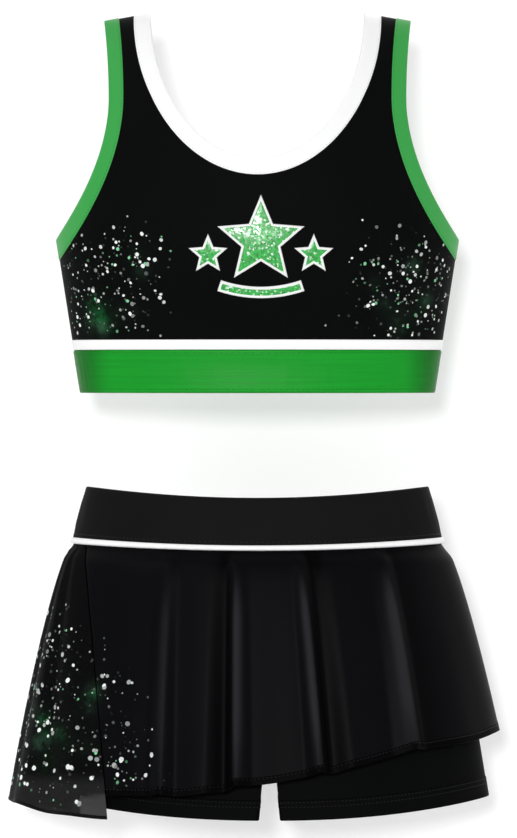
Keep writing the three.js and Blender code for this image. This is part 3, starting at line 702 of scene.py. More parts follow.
def print_group():
    """Foil dust and soft clouds, where the cloth's print attribute is above nothing."""
    tree, given, result = new_group("printed_dust", {"Dust": 1.0, "Haze": 1.0},
                                    {"Dust": "NodeSocketFloat", "Haze": "NodeSocketFloat",
                                     "Green": "NodeSocketFloat"})
    density = attribute(tree, "print")
    place = texture_place(tree)
    total = None
    for cell, size, share in DUST_LAYERS:
        dots = add(tree, "ShaderNodeTexVoronoi", {"Vector": place, "Scale": 1 / cell, "Randomness": 1.0})
        chance = add(tree, "ShaderNodeSeparateColor", {0: dots.outputs["Color"]})
        radius = maths(tree, "MULTIPLY_ADD", chance.outputs[1], 0.7 * size, 0.3 * size)
        inside = maths(tree, "SUBTRACT", radius, dots.outputs["Distance"])
        soft = maths(tree, "DIVIDE", inside, 0.4 * size, limit=True)
        chosen = maths(tree, "LESS_THAN", chance.outputs[0], maths(tree, "MULTIPLY", density, share))
        dot = maths(tree, "MULTIPLY", soft, chosen)
        dot = maths(tree, "MULTIPLY", dot, maths(tree, "MULTIPLY_ADD", chance.outputs[2], 0.8, 0.2))
        total = dot if total is None else maths(tree, "MAXIMUM", total, dot)
    patch = noise_of(tree, place, 34.0, 4.0, 0.62)
    cloud = attribute(tree, "haze")
    core = maths(tree, "POWER", maths(tree, "MULTIPLY", cloud, spread(tree, patch, 0.34, 0.72)), 2.0)
    haze = maths(tree, "MULTIPLY_ADD", cloud, 0.03, core, limit=True)
    green = spread(tree, noise_of(tree, place, 21.0), 0.44, 0.6)
    tree.links.new(maths(tree, "MULTIPLY", total, given.outputs[0]), result.inputs[0])
    tree.links.new(maths(tree, "MULTIPLY", haze, given.outputs[1]), result.inputs[1])
    tree.links.new(green, result.inputs[2])
    return tree


def rib_group():
    """Fine ribs across a trim's length, with threads of slightly different tone along it."""
    tree, given, result = new_group("trim_ribs", {"Ribs": 900.0, "Depth": 0.2, "Streaks": 0.2},
                                    {"Normal": "NodeSocketVector", "Tone": "NodeSocketFloat"})
    rib = maths(tree, "PINGPONG", maths(tree, "MULTIPLY", coordinate(tree, "UV", 0), given.outputs[0]), 0.5)
    bump = add(tree, "ShaderNodeBump", {"Strength": given.outputs[1], "Distance": 0.0003, "Height": rib})
    stretched = add(tree, "ShaderNodeMapping", {"Vector": texture_place(tree, "UV"),
                                                "Scale": (9.0, 520.0, 1.0)}).outputs[0]
    streak = noise_of(tree, stretched, 1.0, 3.0, 0.6)
    tone = maths(tree, "MULTIPLY_ADD", maths(tree, "SUBTRACT", streak, 0.5), given.outputs[2], 1.0)
    tree.links.new(bump.outputs[0], result.inputs[0])
    tree.links.new(tone, result.inputs[1])
    return tree


GROUPS = {"knit_relief": knit_group, "printed_dust": print_group, "trim_ribs": rib_group}


def group(tree, name, inputs=None):
    made = bpy.data.node_groups.get(name) or GROUPS[name]()
    return add(tree, "ShaderNodeGroup", inputs, node_tree=made)


def scaled(base, share):
    return tuple(share * c for c in base)


def toned(tree, base, tone):
    """A plain colour made lighter or darker by a tone round 1."""
    node = add(tree, "ShaderNodeMix", {0: 1.0}, data_type="RGBA", blend_type="MULTIPLY")
    node.inputs[6].default_value = (*base, 1)
    tree.links.new(tone, node.inputs[7])
    return node.outputs[2]


def finish_of(name, roughness, specular=0.5):
    """A new material with its plain values, and its tree and shader."""
    material = bpy.data.materials.new(name)
    material.use_nodes = True
    tree = material.node_tree
    shader = tree.nodes["Principled BSDF"]
    shader.inputs["Roughness"].default_value = roughness
    shader.inputs["Specular IOR Level"].default_value = specular
    return material, tree, shader


def made_once(make):
    """Pieces share a material by its name, which the solids' own finishes don't have."""
    @functools.wraps(make)
    def find(name, *values, **settings):
        own = f"cloth_{name}"
        return bpy.data.materials.get(own) or make(own, *values, **settings)
    return find


@made_once
def knit_material(name, base, roughness, specular, printed=False, cloudiness=0.35, sheer=False, crest=None):
    """Knitted cloth. crest is its painted highlight colour on a fold's crest, with painted shade in the hollows,
    and sheer cloth lets some light through and is painted lighter where light would show through it.
    """
    material, tree, shader = finish_of(name, roughness, specular)
    knit = group(tree, "knit_relief", {"Stitches": 800.0, "Depth": 0.12, "Cloudiness": cloudiness})
    shade = toned(tree, base, knit.outputs["Tone"])
    if crest:
        # Painted light on the folds: the hollows are coloured darker as painted shade, and the crests lighter as a
        # painted highlight.
        painted_light_and_wear = attribute(tree, "crest")
        hollow = (*scaled(base, 0.4), 1)
        shade = mixed(tree, spread(tree, painted_light_and_wear, 0.0, FLAT_CREST), hollow, shade)
        painted_highlight = maths(tree, "POWER", spread(tree, painted_light_and_wear, FLAT_CREST, 1.0), 1.2)
        shade = mixed(tree, painted_highlight, shade, (*crest, 1))
    tree.links.new(knit.outputs["Normal"], shader.inputs["Normal"])
    if sheer:
        alpha = mesh_alpha(tree)
        # Painted light: the sheer cloth is coloured grey where light would show through it, as well as having its
        # real transparency.
        shade = mixed(tree, attribute(tree, "veil"), shade, (0.050, 0.050, 0.050, 1))
    if printed:
        looks = bpy.context.scene.uniform_colours
        dust = group(tree, "printed_dust", {"Dust": 0.5, "Haze": 1.0})
        ink = mixed(tree, dust.outputs["Green"], (0.10, 0.26, 0.15, 1), (*looks.haze, 1))
        shade = mixed(tree, dust.outputs["Haze"], shade, ink)
        speck = mixed(tree, maths(tree, "MULTIPLY", dust.outputs["Green"], 0.35), (0.22, 0.24, 0.23, 1),
                      (0.05, 0.30, 0.09, 1))
        shade = mixed(tree, dust.outputs["Dust"], shade, speck)
        if sheer:
            alpha = maths(tree, "MAXIMUM", alpha, dust.outputs["Dust"])
    tree.links.new(shade, shader.inputs["Base Color"])
    if sheer:
        tree.links.new(alpha, shader.inputs["Alpha"])
    return material


@made_once
def trim_material(name, base, roughness, specular=0.4, ribs=900.0, depth=0.2, streaks=0.15, ends=None):
    """Ribbed trim. ends gives how far from the middle, in metres, its painted shade starts and stops darkening it,
    where the trim turns away from the light.
    """
    material, tree, shader = finish_of(name, roughness, specular)
    rib = group(tree, "trim_ribs", {"Ribs": ribs, "Depth": depth, "Streaks": streaks})
    shade = toned(tree, base, rib.outputs["Tone"])
    if ends:
        # Painted shade: the trim is coloured darker towards its ends, where it turns away from the light.
        outer = spread(tree, maths(tree, "ABSOLUTE", coordinate(tree, "Object", 0)), *ends)
        shade = mixed(tree, maths(tree, "MULTIPLY", outer, 0.65), shade, (*scaled(base, 0.25), 1))
    tree.links.new(shade, shader.inputs["Base Color"])
    tree.links.new(rib.outputs["Normal"], shader.inputs["Normal"])
    rough = maths(tree, "MULTIPLY", rib.outputs["Tone"], roughness)
    tree.links.new(rough, shader.inputs["Roughness"])
    return material


def mesh_alpha(tree):
    """How much the sheer cloth covers: nearly everything, a little less low down and in its holes."""
    net = add(tree, "ShaderNodeTexVoronoi", {"Vector": texture_place(tree, "UV"), "Scale": 1500.0,
                                             "Randomness": 0.1}).outputs["Distance"]
    thin = spread(tree, coordinate(tree, "Object", 2), -0.222, -0.19, 0.935, 0.985)
    holes = maths(tree, "MULTIPLY", spread(tree, net, 0.0, 0.45), 0.02)
    return maths(tree, "SUBTRACT", thin, holes, limit=True)


def black_knit(printed=True):
    looks = bpy.context.scene.uniform_colours
    name = "black_knit_printed" if printed else "black_knit"
    return knit_material(name, looks.black, 0.6, 0.02, printed=printed)


@made_once
def foil_material(name, base):
    """Foil that is bright on some dots and dull on others, with a fine grain of wear."""
    material, tree, shader = finish_of(name, 0.4, specular=0.3)
    tone = attribute(tree, "tone")
    grain = noise_of(tree, texture_place(tree), 900.0)
    painted_light_and_wear = maths(tree, "MULTIPLY_ADD", grain, 0.5, 0.75)
    shade = maths(tree, "MULTIPLY", maths(tree, "POWER", tone, 1.7), painted_light_and_wear)
    tree.links.new(mixed(tree, shade, (*scaled(base, 0.05), 1), (*base, 1)), shader.inputs["Base Color"])
    tree.links.new(maths(tree, "MULTIPLY_ADD", grain, 0.3, 0.25), shader.inputs["Roughness"])
    return material


def foils():
    """The silver and the green foil of the print."""
    return foil_material("foil_silver", (0.80, 0.84, 0.81)), foil_material("foil_green", (0.20, 0.60, 0.30))


def black_thread():
    return trim_material("black_thread", (0.012, 0.012, 0.012), 0.5, 0.3)


def elastic_weave():
    return trim_material("elastic_weave", (0.7, 0.7, 0.66), 0.8, 0.2, ribs=700, depth=0.6)


def lining_cloth():
    return knit_material("lining_knit", (0.010, 0.010, 0.011), 0.8, 0.2, cloudiness=0.5)


@made_once
def glitter_material(name, base, share, size):
    """Sparkling flakes of different brightness in an even colour."""
    material, tree, shader = finish_of(name, 0.35, specular=0.6)
    flakes = add(tree, "ShaderNodeTexVoronoi", {"Vector": texture_place(tree), "Scale": 1 / size})
    chance = add(tree, "ShaderNodeSeparateColor", {0: flakes.outputs["Color"]})
    bright = spread(tree, chance.outputs[0], 1 - share, 1.0)
    tone = maths(tree, "MULTIPLY_ADD", chance.outputs[1], 0.7, 0.65)
    shade = mixed(tree, bright, toned(tree, base, tone), (0.75, 0.9, 0.78, 1))
    tree.links.new(shade, shader.inputs["Base Color"])
    tree.links.new(maths(tree, "MULTIPLY_ADD", chance.outputs[2], 0.4, 0.15), shader.inputs["Roughness"])
    bump = add(tree, "ShaderNodeBump", {"Strength": 0.25, "Distance": 0.0003, "Height": chance.outputs[1]})
    tree.links.new(bump.outputs[0], shader.inputs["Normal"])
    return material


# ------------------------------------------------------------------ crop top

def top_density(place):
    """How thickly the top is printed: most at the lower sides, thinning towards the centre."""
    x, z = abs(place.x), place.z
    side = 0.3 * smooth(x, 48 if z < 205 else 72, 84) + 0.7 * smooth(x, 80, 118)
    height = smooth(z, 292, 240) if z > 240 else 1.0
    height *= lerp(0.55, 1.0, smooth(z, 176, 196))
    outer = 1 - 0.35 * smooth(x, 150, 175)
    return clamp(side * height * outer)


# Centres of the print's green clouds: across, height, reach and strength
TOP_CLOUDS = ((-140, 207, 13, 0.75), (-138, 190, 15, 0.95), (-106, 250, 11, 0.6), (-100, 236, 12, 0.55),
              (-114, 200, 16, 0.35), (112, 206, 13, 0.8), (126, 192, 16, 0.9), (144, 212, 13, 0.7),
              (134, 240, 13, 0.5), (104, 226, 10, 0.45))
SKIRT_CLOUDS = ((-192, -154, 13, 0.95), (-188, -176, 12, 0.8), (-182, -196, 12, 0.6), (-142, -130, 11, 0.9),
                (-146, -144, 14, 0.5), (-150, -176, 15, 0.35), (-172, -172, 16, 0.4))


def clouds(centres, place):
    """How much of the green clouds lies over a place."""
    total = 0.0
    for x, z, reach, strength in centres:
        total += strength * math.exp(-((place.x - x) ** 2 + (place.z - z) ** 2) / (0.5 * reach * reach))
    return clamp(0.85 * total)


def printed_with(density, centres):
    """The attributes of a printed cloth: how thick its dots are, and its green clouds."""
    return {"print": lambda u, v, here: density(here), "haze": lambda u, v, here: clouds(centres, here)}


def top_half(face, side, grow_neck, grow_arm, bottom):
    """Half of a front or back panel: rows run from the side seam and armhole to the centre and neck edge."""
    low = chest_level(bottom)
    end = arm_end(round(grow_arm, 4))
    seam_share, centre_share = 0.26, 0.43

    def on_form(x, z):
        return Vector((chest_angle(x, z, face), chest_level(z), 0))

    def outer(share):
        if share < seam_share:
            _, z = arm_edge(end, grow_arm, RIGHT)
            level = lerp(low, chest_level(z), share / seam_share)
            return Vector((0.0 if side == RIGHT else face * math.pi, level, 0))
        part = smooth((share - seam_share) / (1 - seam_share))
        return on_form(*arm_edge(end * (1 - part), grow_arm, side))

    def inner(share):
        if share < centre_share:
            level = lerp(low, chest_level(neck_edge(math.pi / 2, grow_neck, face)[1]), share / centre_share)
            return Vector((face * math.pi / 2, level, 0))
        part = (share - centre_share) / (1 - centre_share)
        turn = math.pi / 2 * (1 - part) * (1 - part * part / 2)
        return on_form(*neck_edge(turn if side == RIGHT else math.pi - turn, grow_neck, face))

    def by_length(edge):
        measure, _ = evened(lambda share: chest_point(*edge(share)[:2]))
        return lambda share: edge(measure(share))

    outer_edge, inner_edge = by_length(outer), by_length(inner)

    def place(u, v):
        across = u if side == LEFT else 1 - u
        both = lerp(outer_edge(v), inner_edge(v), across)
        return chest_point(both.x, both.y)

    return place


def top_cloth(name, face, grow_neck, grow_arm, bottom, columns, rows, material, wall, proud, paint=None):
    """A whole front or back panel, from two halves that join at the centre under the neck."""
    bm = bmesh.new()
    for side in (LEFT, RIGHT):
        place = top_half(face, side, grow_neck, grow_arm, bottom)
        lay_grid(bm, columns, rows, place, (245, 285), 0 if side == LEFT else 245, paint)
    bmesh.ops.remove_doubles(bm, verts=bm.verts, dist=1e-5)
    face_outwards(bm)
    return thicken(object_of(name, bm, material), wall, proud)


class UNIFORM_OT_top_panels(bpy.types.Operator):
    """Makes the front and back panels of the top with their linings and shoulder tapes"""
    bl_idname = "uniform.top_panels"
    bl_label = "Top Panels"

    def execute(self, context):
        knit = black_knit()
        inner = lining_cloth()
        tape = trim_material("tape_weave", (0.55, 0.55, 0.53), 0.8)
        for face in (FRONT, BACK):
            name = f"top_{FACE_NAMES[face]}"
            panel = top_cloth(f"{name}_knit", face, -TUCK, ARM_BINDING - TUCK, STRIPE_TOP - 1.5, 48, 64, knit,
                              FABRIC, 0.0, printed_with(top_density, TOP_CLOUDS))
            sew(panel, "crop_top", "black_knit", f"{name}_panel")
            lining = top_cloth(f"{name}_lining_knit", face, -1.0, ARM_BINDING - 1.0, STRIPE_TOP + 1, 32, 44,
                               inner, LINING, -FABRIC - GAP)
            sew(lining, "crop_top", "lining_knit", f"{name}_lining")
        for side in (LEFT, RIGHT):
            def strap(u, v, side=side):
                level = 1 + 0.14 * (v - 0.5)
                return chest_point(chest_angle(side * lerp(110, 120.5, u), SHOULDER, FRONT), level)
            piece = cloth(f"shoulder_tape_{SIDE_NAMES[side]}_weave", 6, 14, strap, (10.5, 19), tape,
                          wall=0.8, proud=-FABRIC - 2 * GAP - LINING)
            sew(piece, "crop_top", "elastic", f"shoulder_tape_{SIDE_NAMES[side]}")
        return {"FINISHED"}


class UNIFORM_OT_neck_binding(bpy.types.Operator):
    """Makes the white binding of the neck with its stitching"""
    bl_idname = "uniform.neck_binding"
    bl_label = "Neck Binding"

    def execute(self, context):
        looks = context.scene.uniform_colours
        white = trim_material("white_binding", looks.white, 0.6, 0.3, ribs=800, depth=0.12, streaks=0.05)
        thread = trim_material("white_thread", (0.72, 0.72, 0.72), 0.6, 0.3)
        surface, length = evenly(neck_loop, -NECK_BINDING / 2)
        section = rounded(-NECK_BINDING, -0.1, -FABRIC - PROUD, PROUD, 1.1, rows=4)
        sew(sweep("neck_binding_strip", 260, section, surface, length, white),
            "crop_top", "white_binding", "neck_binding")
        sewn_row("neck_binding_stitches", surface, -1.6, length, thread, "crop_top", "white_binding")
        return {"FINISHED"}


class UNIFORM_OT_armhole_bindings(bpy.types.Operator):
    """Makes the two green armhole bindings with their stitching"""
    bl_idname = "uniform.armhole_bindings"
    bl_label = "Armhole Bindings"

    def execute(self, context):
        looks = context.scene.uniform_colours
        green = trim_material("green_binding", looks.binding, 0.5, 0.2, ribs=800, depth=0.15, streaks=0.12)
        thread = trim_material("green_thread", scaled(looks.binding, 0.6), 0.6, 0.3)
        for side in (LEFT, RIGHT):
            surface, length = evenly(functools.partial(arm_loop, side=side), ARM_BINDING / 2)
            name = f"armhole_binding_{SIDE_NAMES[side]}"
            section = rounded(0, ARM_BINDING - 0.1, -FABRIC - PROUD, PROUD, 1.1, rows=4)
            sew(sweep(f"{name}_strip", 200, section, surface, length, green),
                "crop_top", "green_binding", name)
            sewn_row(f"{name}_stitches", surface, ARM_BINDING - 1.7, length, thread,
                     "crop_top", "green_binding")
        return {"FINISHED"}


def chest_round(share, z):
    return chest_point(2 * math.pi * share, chest_level(z))


class UNIFORM_OT_underbust_band(bpy.types.Operator):
    """Makes the shiny underbust band, the elastic inside it and the white stripe above it"""
    bl_idname = "uniform.underbust_band"
    bl_label = "Underbust Band"

    def execute(self, context):
        looks = context.scene.uniform_colours
        # The band is painted darker towards its ends as painted shade.
        satin = trim_material("green_satin", looks.band, 0.4, 0.06, ribs=500, depth=0.05, streaks=0.5,
                              ends=(0.126, 0.153))
        white = trim_material("white_stripe", looks.white, 0.6, 0.3, ribs=800, depth=0.12, streaks=0.05)
        elastic = elastic_weave()
        thread = trim_material("band_thread", scaled(looks.band, 0.55), 0.6, 0.3)
        length = 4 * 190

        def puckers(share, across, out):
            """Small waves where the elastic gathers the satin."""
            if out < 0:
                return 0.0
            wave = noise.noise(Vector((share * 150, across * 0.05, 4.0)))
            return 0.28 * wave * smooth(min(across - TOP_HEM, BAND_TOP - across), 0, 8)

        section = rounded(TOP_HEM, BAND_TOP, -FABRIC - 1.6, PROUD, 1.3, rows=9)
        sew(sweep("underbust_band_satin", 320, section, chest_round, length, satin, ripple=puckers),
            "crop_top", "green_band", "underbust_band")
        section = rounded(TOP_HEM + 2, BAND_TOP - 2, -2.4, -1.0, 0.5, rows=4)
        sew(sweep("underbust_elastic_weave", 120, section, chest_round, length, elastic),
            "crop_top", "elastic", "underbust_elastic")
        section = rounded(STRIPE_LOW, STRIPE_TOP, -FABRIC - PROUD, PROUD + 0.2, 0.8, rows=2)
        sew(sweep("underbust_stripe_knit", 240, section, chest_round, length, white),
            "crop_top", "white_binding", "underbust_stripe")
        for number, z in enumerate((BAND_TOP - 2.2, TOP_HEM + 3.0)):
            sewn_row(f"underbust_band_stitches_{number + 1}", chest_round, z, length, thread, "crop_top",
                     "green_band")
        return {"FINISHED"}


def star_corners(x, z, radius):
    corners = []
    for i in range(10):
        turn = math.pi / 2 + i * math.pi / 5
        reach = radius * (0.45 if i % 2 else 1.0)
        corners.append((x + reach * math.cos(turn), z + reach * math.sin(turn)))
    return corners


def star_edge(x, z, radius):
    """The star's outline as a share of the way round, shrunk evenly by shrink."""
    def edge(share, shrink):
        corners = star_corners(x, z, radius - 1.9 * shrink)
        place = share % 1.0 * 10
        i = int(place)
        here, ahead = corners[i % 10], corners[(i + 1) % 10]
        return lerp(here[0], ahead[0], place - i), lerp(here[1], ahead[1], place - i)
    return edge


def arc_edge(x, z):
    """The arc's outline as a share of the way round, of which each end takes a part."""
    end, radius = 0.06, 2.95 * EMBLEM_SIZE

    def edge(share, shrink):
        shrink *= 0.8
        half = math.asin(0.95 / 2.95) - shrink / radius
        outer, inner = radius - shrink, radius - 0.25 * EMBLEM_SIZE + shrink
        share %= 1.0
        if share < 0.5 - end:
            turn, reach = lerp(-half, half, share / (0.5 - end)), outer
        elif share < 0.5:
            turn, reach = half, lerp(outer, inner, (share - 0.5 + end) / end)
        elif share < 1 - end:
            turn, reach = lerp(half, -half, (share - 0.5) / (0.5 - end)), inner
        else:
            turn, reach = -half, lerp(inner, outer, (share - 1 + end) / end)
        return x + reach * math.sin(turn), z + radius - reach * math.cos(turn)
    return edge


class UNIFORM_OT_applique(bpy.types.Operator):
    """Makes the applique on the chest: three stars over an arc, each with a satin-stitched border"""
    bl_idname = "uniform.applique"
    bl_label = "Chest Applique"

    def execute(self, context):
        border = trim_material("applique_thread", (0.88, 0.9, 0.88), 0.45, 0.5, ribs=1600, depth=0.5,
                               streaks=0.2)
        glitter = glitter_material("applique_glitter", (0.02, 0.36, 0.05), 0.2, 0.0016)
        width = 0.0875 * EMBLEM_SIZE
        small_z = EMBLEM_Z - 0.3 * EMBLEM_SIZE
        small = 0.45 * EMBLEM_SIZE
        shapes = {
            "emblem_star_centre": (star_edge(EMBLEM_X, EMBLEM_Z, EMBLEM_SIZE), 300, EMBLEM_SIZE * 6),
            "emblem_star_left": (star_edge(EMBLEM_X - 1.15 * EMBLEM_SIZE, small_z, small), 160, small * 6),
            "emblem_star_right": (star_edge(EMBLEM_X + 1.15 * EMBLEM_SIZE, small_z, small), 160, small * 6),
            "emblem_arc": (arc_edge(EMBLEM_X, EMBLEM_Z - 1.25 * EMBLEM_SIZE), 240, EMBLEM_SIZE * 4),
        }
        for name, (edge, columns, length) in shapes.items():
            def surface(share, across, edge=edge):
                return chest_at(*edge(share, across))

            section = [(width * (0.5 - 0.5 * math.cos(k * math.pi / 6)),
                        0.25 + 1.15 * math.sin(k * math.pi / 6)) for k in range(7)]
            section += [(width * 0.75, 0.1), (width * 0.25, 0.1)]
            sew(sweep(f"{name}_border", columns, section, surface, length, border),
                "crop_top", "applique_white", f"{name}_outline")
            if name == "emblem_arc":
                def place(u, v, edge=edge):
                    inset = width * 0.75
                    low, high = edge(0.44 * u, inset), edge(0.94 - 0.44 * u, inset)
                    x, z = lerp(low[0], high[0], v), lerp(low[1], high[1], v)
                    return chest_lifted(x, z, GAP + 0.65 + 0.35 * math.sin(math.pi * v))
                fill = cloth(f"{name}_fill", 64, 6, place, (length / 2, 10), glitter, wall=0.6)
            else:
                middle = [sum(c) / 10 for c in zip(*(edge(i / 10, 0) for i in range(10)))]

                def place(u, v, edge=edge, middle=middle):
                    x, z = edge(u, width * 0.75)
                    puff = 0.45 * (1 - v * v)
                    return chest_lifted(lerp(middle[0], x, v), lerp(middle[1], z, v), GAP + 0.65 + puff)
                fill = cloth(f"{name}_fill", 60, 10, place, (length, length / 6), glitter, wall=0.6,
                             closed=True)
            sew(fill, "crop_top", "applique_green", name)
        return {"FINISHED"}


def foil_dots(name, material, count, seed, draw, surface_at, sizes):
    """Flat foil dots. draw gives a chance place, or nothing, and surface_at lifts it off the cloth."""
    chance = random.Random(seed)
    places = []
    while len(places) < count:
        drawn = draw(chance)
        if drawn is None:
            continue
        here = surface_at(*drawn, 0.03)
        up = (surface_at(*drawn, 1.0) - here).normalized()
        along = up.orthogonal()
        along.rotate(Matrix.Rotation(chance.uniform(0, math.tau), 3, up))
        size = sizes[0] + (sizes[1] - sizes[0]) * chance.random() ** 1.9
        tone = clamp(chance.random() ** 1.2 * 0.9 + 0.16 * size)
        places.append((here, along, up, (size, size * chance.uniform(0.78, 1.0), DOT_THICKNESS), tone))
    return beads(name, places, material, smooth_faces=False)


class UNIFORM_OT_top_foil(bpy.types.Operator):
    """Scatters the foil dots over the sides of the top, front and back"""
    bl_idname = "uniform.top_foil"
    bl_label = "Top Foil Dots"

    def execute(self, context):
        sizes = context.scene.uniform_cloth
        silver, green = foils()
        for face in (FRONT, BACK):
            for side in (LEFT, RIGHT):
                def draw(chance, face=face, side=side):
                    x, z = side * chance.uniform(45, 172), chance.uniform(179, 300)
                    point = Vector((x, 0, z))
                    patch = noise.noise(point / 17 + Vector((7, side, face)))
                    cluster = 0.35 + 0.65 * smooth(patch, -0.35, 0.3)
                    if abs(x) > chest_half(z) - 2 or chance.random() > (top_density(point) * cluster) ** 1.3:
                        return None
                    arm = arm_end(ARM_BINDING)
                    for i in range(24):
                        edge_x, edge_z = arm_edge(arm * i / 23, ARM_BINDING + 2, RIGHT)
                        if z > edge_z and abs(x) > edge_x - 1:
                            return None
                    return x, z, face
                name = f"top_foil_{FACE_NAMES[face]}_{SIDE_NAMES[side]}"
                share = 1.0 if face == FRONT else 0.6

                def at(x, z, face, out):
                    return chest_lifted(x, z, out, face)

                seed, count = 11 + 3 * side + face, sizes.top_dots * share
                sew(foil_dots(f"{name}_silver", silver, round(count), seed, draw, at, (0.7, 2.3)),
                    "crop_top", "applique_white")
                sew(foil_dots(f"{name}_green", green, round(count * 0.22), seed + 40, draw, at, (0.7, 2.0)),
                    "crop_top", "applique_green")
        return {"FINISHED"}


# ------------------------------------------------------------------ care labels

class UNIFORM_OT_care_labels(bpy.types.Operator):
    """Makes the two blank satin care labels, each sewn in by its upper edge"""
    bl_idname = "uniform.care_labels"
    bl_label = "Care Labels"

    def execute(self, context):
        satin = trim_material("label_satin", (0.72, 0.72, 0.70), 0.4, 0.4, ribs=1400, depth=0.1, streaks=0.1)
        for node, body, reach in (("top_care_label", "crop_top", 9.0), ("skort_care_label", "skort", 5.5)):
            low, high = (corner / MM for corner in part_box(node))

            def place(u, v, low=low, high=high, reach=reach):
                curl = reach * v ** 3 + 0.8 * math.sin(math.pi * u)
                return Vector((lerp(low.x, high.x, u), low.y + curl, lerp(low.z, high.z, v)))
            label = cloth(f"{node}_satin", 16, 10, place, (30, 14), satin, wall=0.4)
            sew(label, body, "label_satin", node)
        return {"FINISHED"}


# ------------------------------------------------------------------ skort

def waist_round(share, z):
    return waist_point(2 * math.pi * share, z)


class UNIFORM_OT_waistband(bpy.types.Operator):
    """Makes the waistband with its elastic and stitching, and the white piping of the waist seam"""
    bl_idname = "uniform.waistband"
    bl_label = "Waistband"

    def execute(self, context):
        looks = context.scene.uniform_colours
        knit = knit_material("waistband_knit", looks.waist, 0.6, 0.03, cloudiness=0.3)
        white = trim_material("white_piping", looks.white, 0.55, 0.3, ribs=900, depth=0.15, streaks=0.05)
        elastic = elastic_weave()
        length = 4 * 185

        def fullness(share, across, out):
            """The folded cloth stands out a little between its stitched edges."""
            if out <= -1:
                return 0.0
            turn = math.tau * share
            wave = noise.noise(Vector((math.cos(turn) * 9, math.sin(turn) * 9, across / 30)))
            return (0.5 + 0.5 * wave) * smooth(min(across - 3, WAIST_TOP - across), 0, 14)

        section = rounded(PIPING / 2 + GAP - 1.5, WAIST_TOP, -FABRIC - 1.6, 0.0, 1.5, rows=10)
        sew(sweep("waistband_casing", 300, section, waist_round, length, knit, ripple=fullness),
            "skort", "black_knit", "waistband")
        section = rounded(6, WAIST_TOP - 3, -2.4, -1.3, 0.5, rows=4)
        sew(sweep("waistband_elastic_weave", 120, section, waist_round, length, elastic),
            "skort", "elastic", "waistband_elastic")
        section = [(PIPING / 2 * math.sin(turn), -0.4 + 1.7 * math.cos(turn))
                   for turn in (k * math.pi / 10 for k in range(-5, 6))]
        section += [(PIPING / 2, -8.5), (-PIPING / 2, -8.5)]
        sew(sweep("waist_piping_cord", 260, section, waist_round, length, white),
            "skort", "white_piping", "waist_piping")
        sewn_row("waistband_stitches", waist_round, PIPING / 2 + 3.0, length, black_thread(), "skort",
                 "black_knit", out=0.15)
        return {"FINISHED"}


def shorts_turn(x, z):
    return math.acos(clamp((x - leg_shift(z)) / shorts_half(z), -1, 1))


def leg_outer(side, face, share, z):
    """From the side seam to the centre seam or the inner side of the leg."""
    outer = 0.0 if side == RIGHT else math.pi
    return shorts_point(face * lerp(outer, shorts_turn(leg_inner_x(z, side), z), share), z)


def leg_around(side, share, z):
    """Once round a leg below the split: front, inner side, and back."""
    share %= 1.0
    if share < 0.42:
        return leg_outer(side, FRONT, share / 0.42, z)
    if share > 0.58:
        return leg_outer(side, BACK, (1 - share) / 0.42, z)
    return lerp(leg_outer(side, FRONT, 1, z), leg_outer(side, BACK, 1, z), (share - 0.42) / 0.16)


class UNIFORM_OT_shorts(bpy.types.Operator):
    """Makes the four panels of the shorts, the leg hems and the gusset's lining"""
    bl_idname = "uniform.shorts"
    bl_label = "Shorts"

    def execute(self, context):
        knit = black_knit(printed=False)
        top = -PIPING / 2 - GAP

        def hem_at(point):
            return leg_hem_height(point.x) + LEG_HEM - 2

        for side in (LEFT, RIGHT):
            for face in (FRONT, BACK):
                def upper(u, v, side=side, face=face):
                    return leg_outer(side, face, u, lerp(top, -CROTCH, v))

                def lower(u, v, side=side, face=face):
                    end = hem_at(leg_outer(side, face, u, -LEG_LENGTH + 10))
                    return leg_outer(side, face, u, lerp(-CROTCH, end, v))

                def inner(u, v, side=side, face=face):
                    end = hem_at(leg_outer(side, face, 1, -LEG_LENGTH + 10))
                    here = leg_outer(side, face, 1, lerp(-CROTCH, end, v))
                    return Vector((here.x, lerp(here.y, 0.3 * face, u), here.z))

                bm = bmesh.new()
                lay_grid(bm, 48, 30, upper, (230, 155))
                lay_grid(bm, 48, 18, lower, (230, 75))
                lay_grid(bm, 10, 18, inner, (85, 75))
                bmesh.ops.remove_doubles(bm, verts=bm.verts, dist=1e-5)
                face_outwards(bm)
                name = f"shorts_{FACE_NAMES[face]}_{SIDE_NAMES[side]}"
                panel = thicken(object_of(f"{name}_knit", bm, knit), FABRIC)
                sew(panel, "skort", "black_knit", name)

            def around(share, across, side=side):
                level = leg_around(side, share, -LEG_LENGTH + 10)
                return leg_around(side, share, leg_hem_height(level.x) + across)

            surface, length = evenly(around, 4.0)
            name = f"leg_hem_{SIDE_NAMES[side]}"
            sew(sweep(f"{name}_fold", 220, rounded(0, LEG_HEM, -FABRIC - PROUD, PROUD, 1.2, rows=4), surface,
                      length, knit), "skort", "black_knit", name)
            for number, across in enumerate((LEG_HEM - 2.5, LEG_HEM - 6.5)):
                sewn_row(f"{name}_stitches_{number + 1}", surface, across, length, black_thread(), "skort",
                         "black_knit")

        low, high = (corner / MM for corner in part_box("gusset_lining"))

        def saddle(u, v):
            lean = abs(2 * u - 1)
            x = lerp(low.x, high.x, 0.5 + math.copysign(0.5 * lean ** 0.45, u - 0.5))
            return Vector((x, lerp(low.y, high.y, v), high.z - 0.3 - (high.z - low.z - 1) * lean ** 2.5))

        bm = bmesh.new()
        lay_grid(bm, 24, 30, saddle, (52, 90))
        bmesh.ops.recalc_face_normals(bm, faces=bm.faces)
        piece = thicken(object_of("gusset_lining_knit", bm, lining_cloth()), 0.8, proud=-0.1)
        sew(piece, "skort", "lining_knit", "gusset_lining")
        return {"FINISHED"}


# ------------------------------------------------------------------ flounce

def turn_key(x_top, x_hem, height, face):
    """A fold's key from where it runs: x at the waist seam and x at the hem."""
    return (face * flounce_turn(x_top, 0), face * flounce_turn(x_hem, -FLOUNCE_DROP), height)


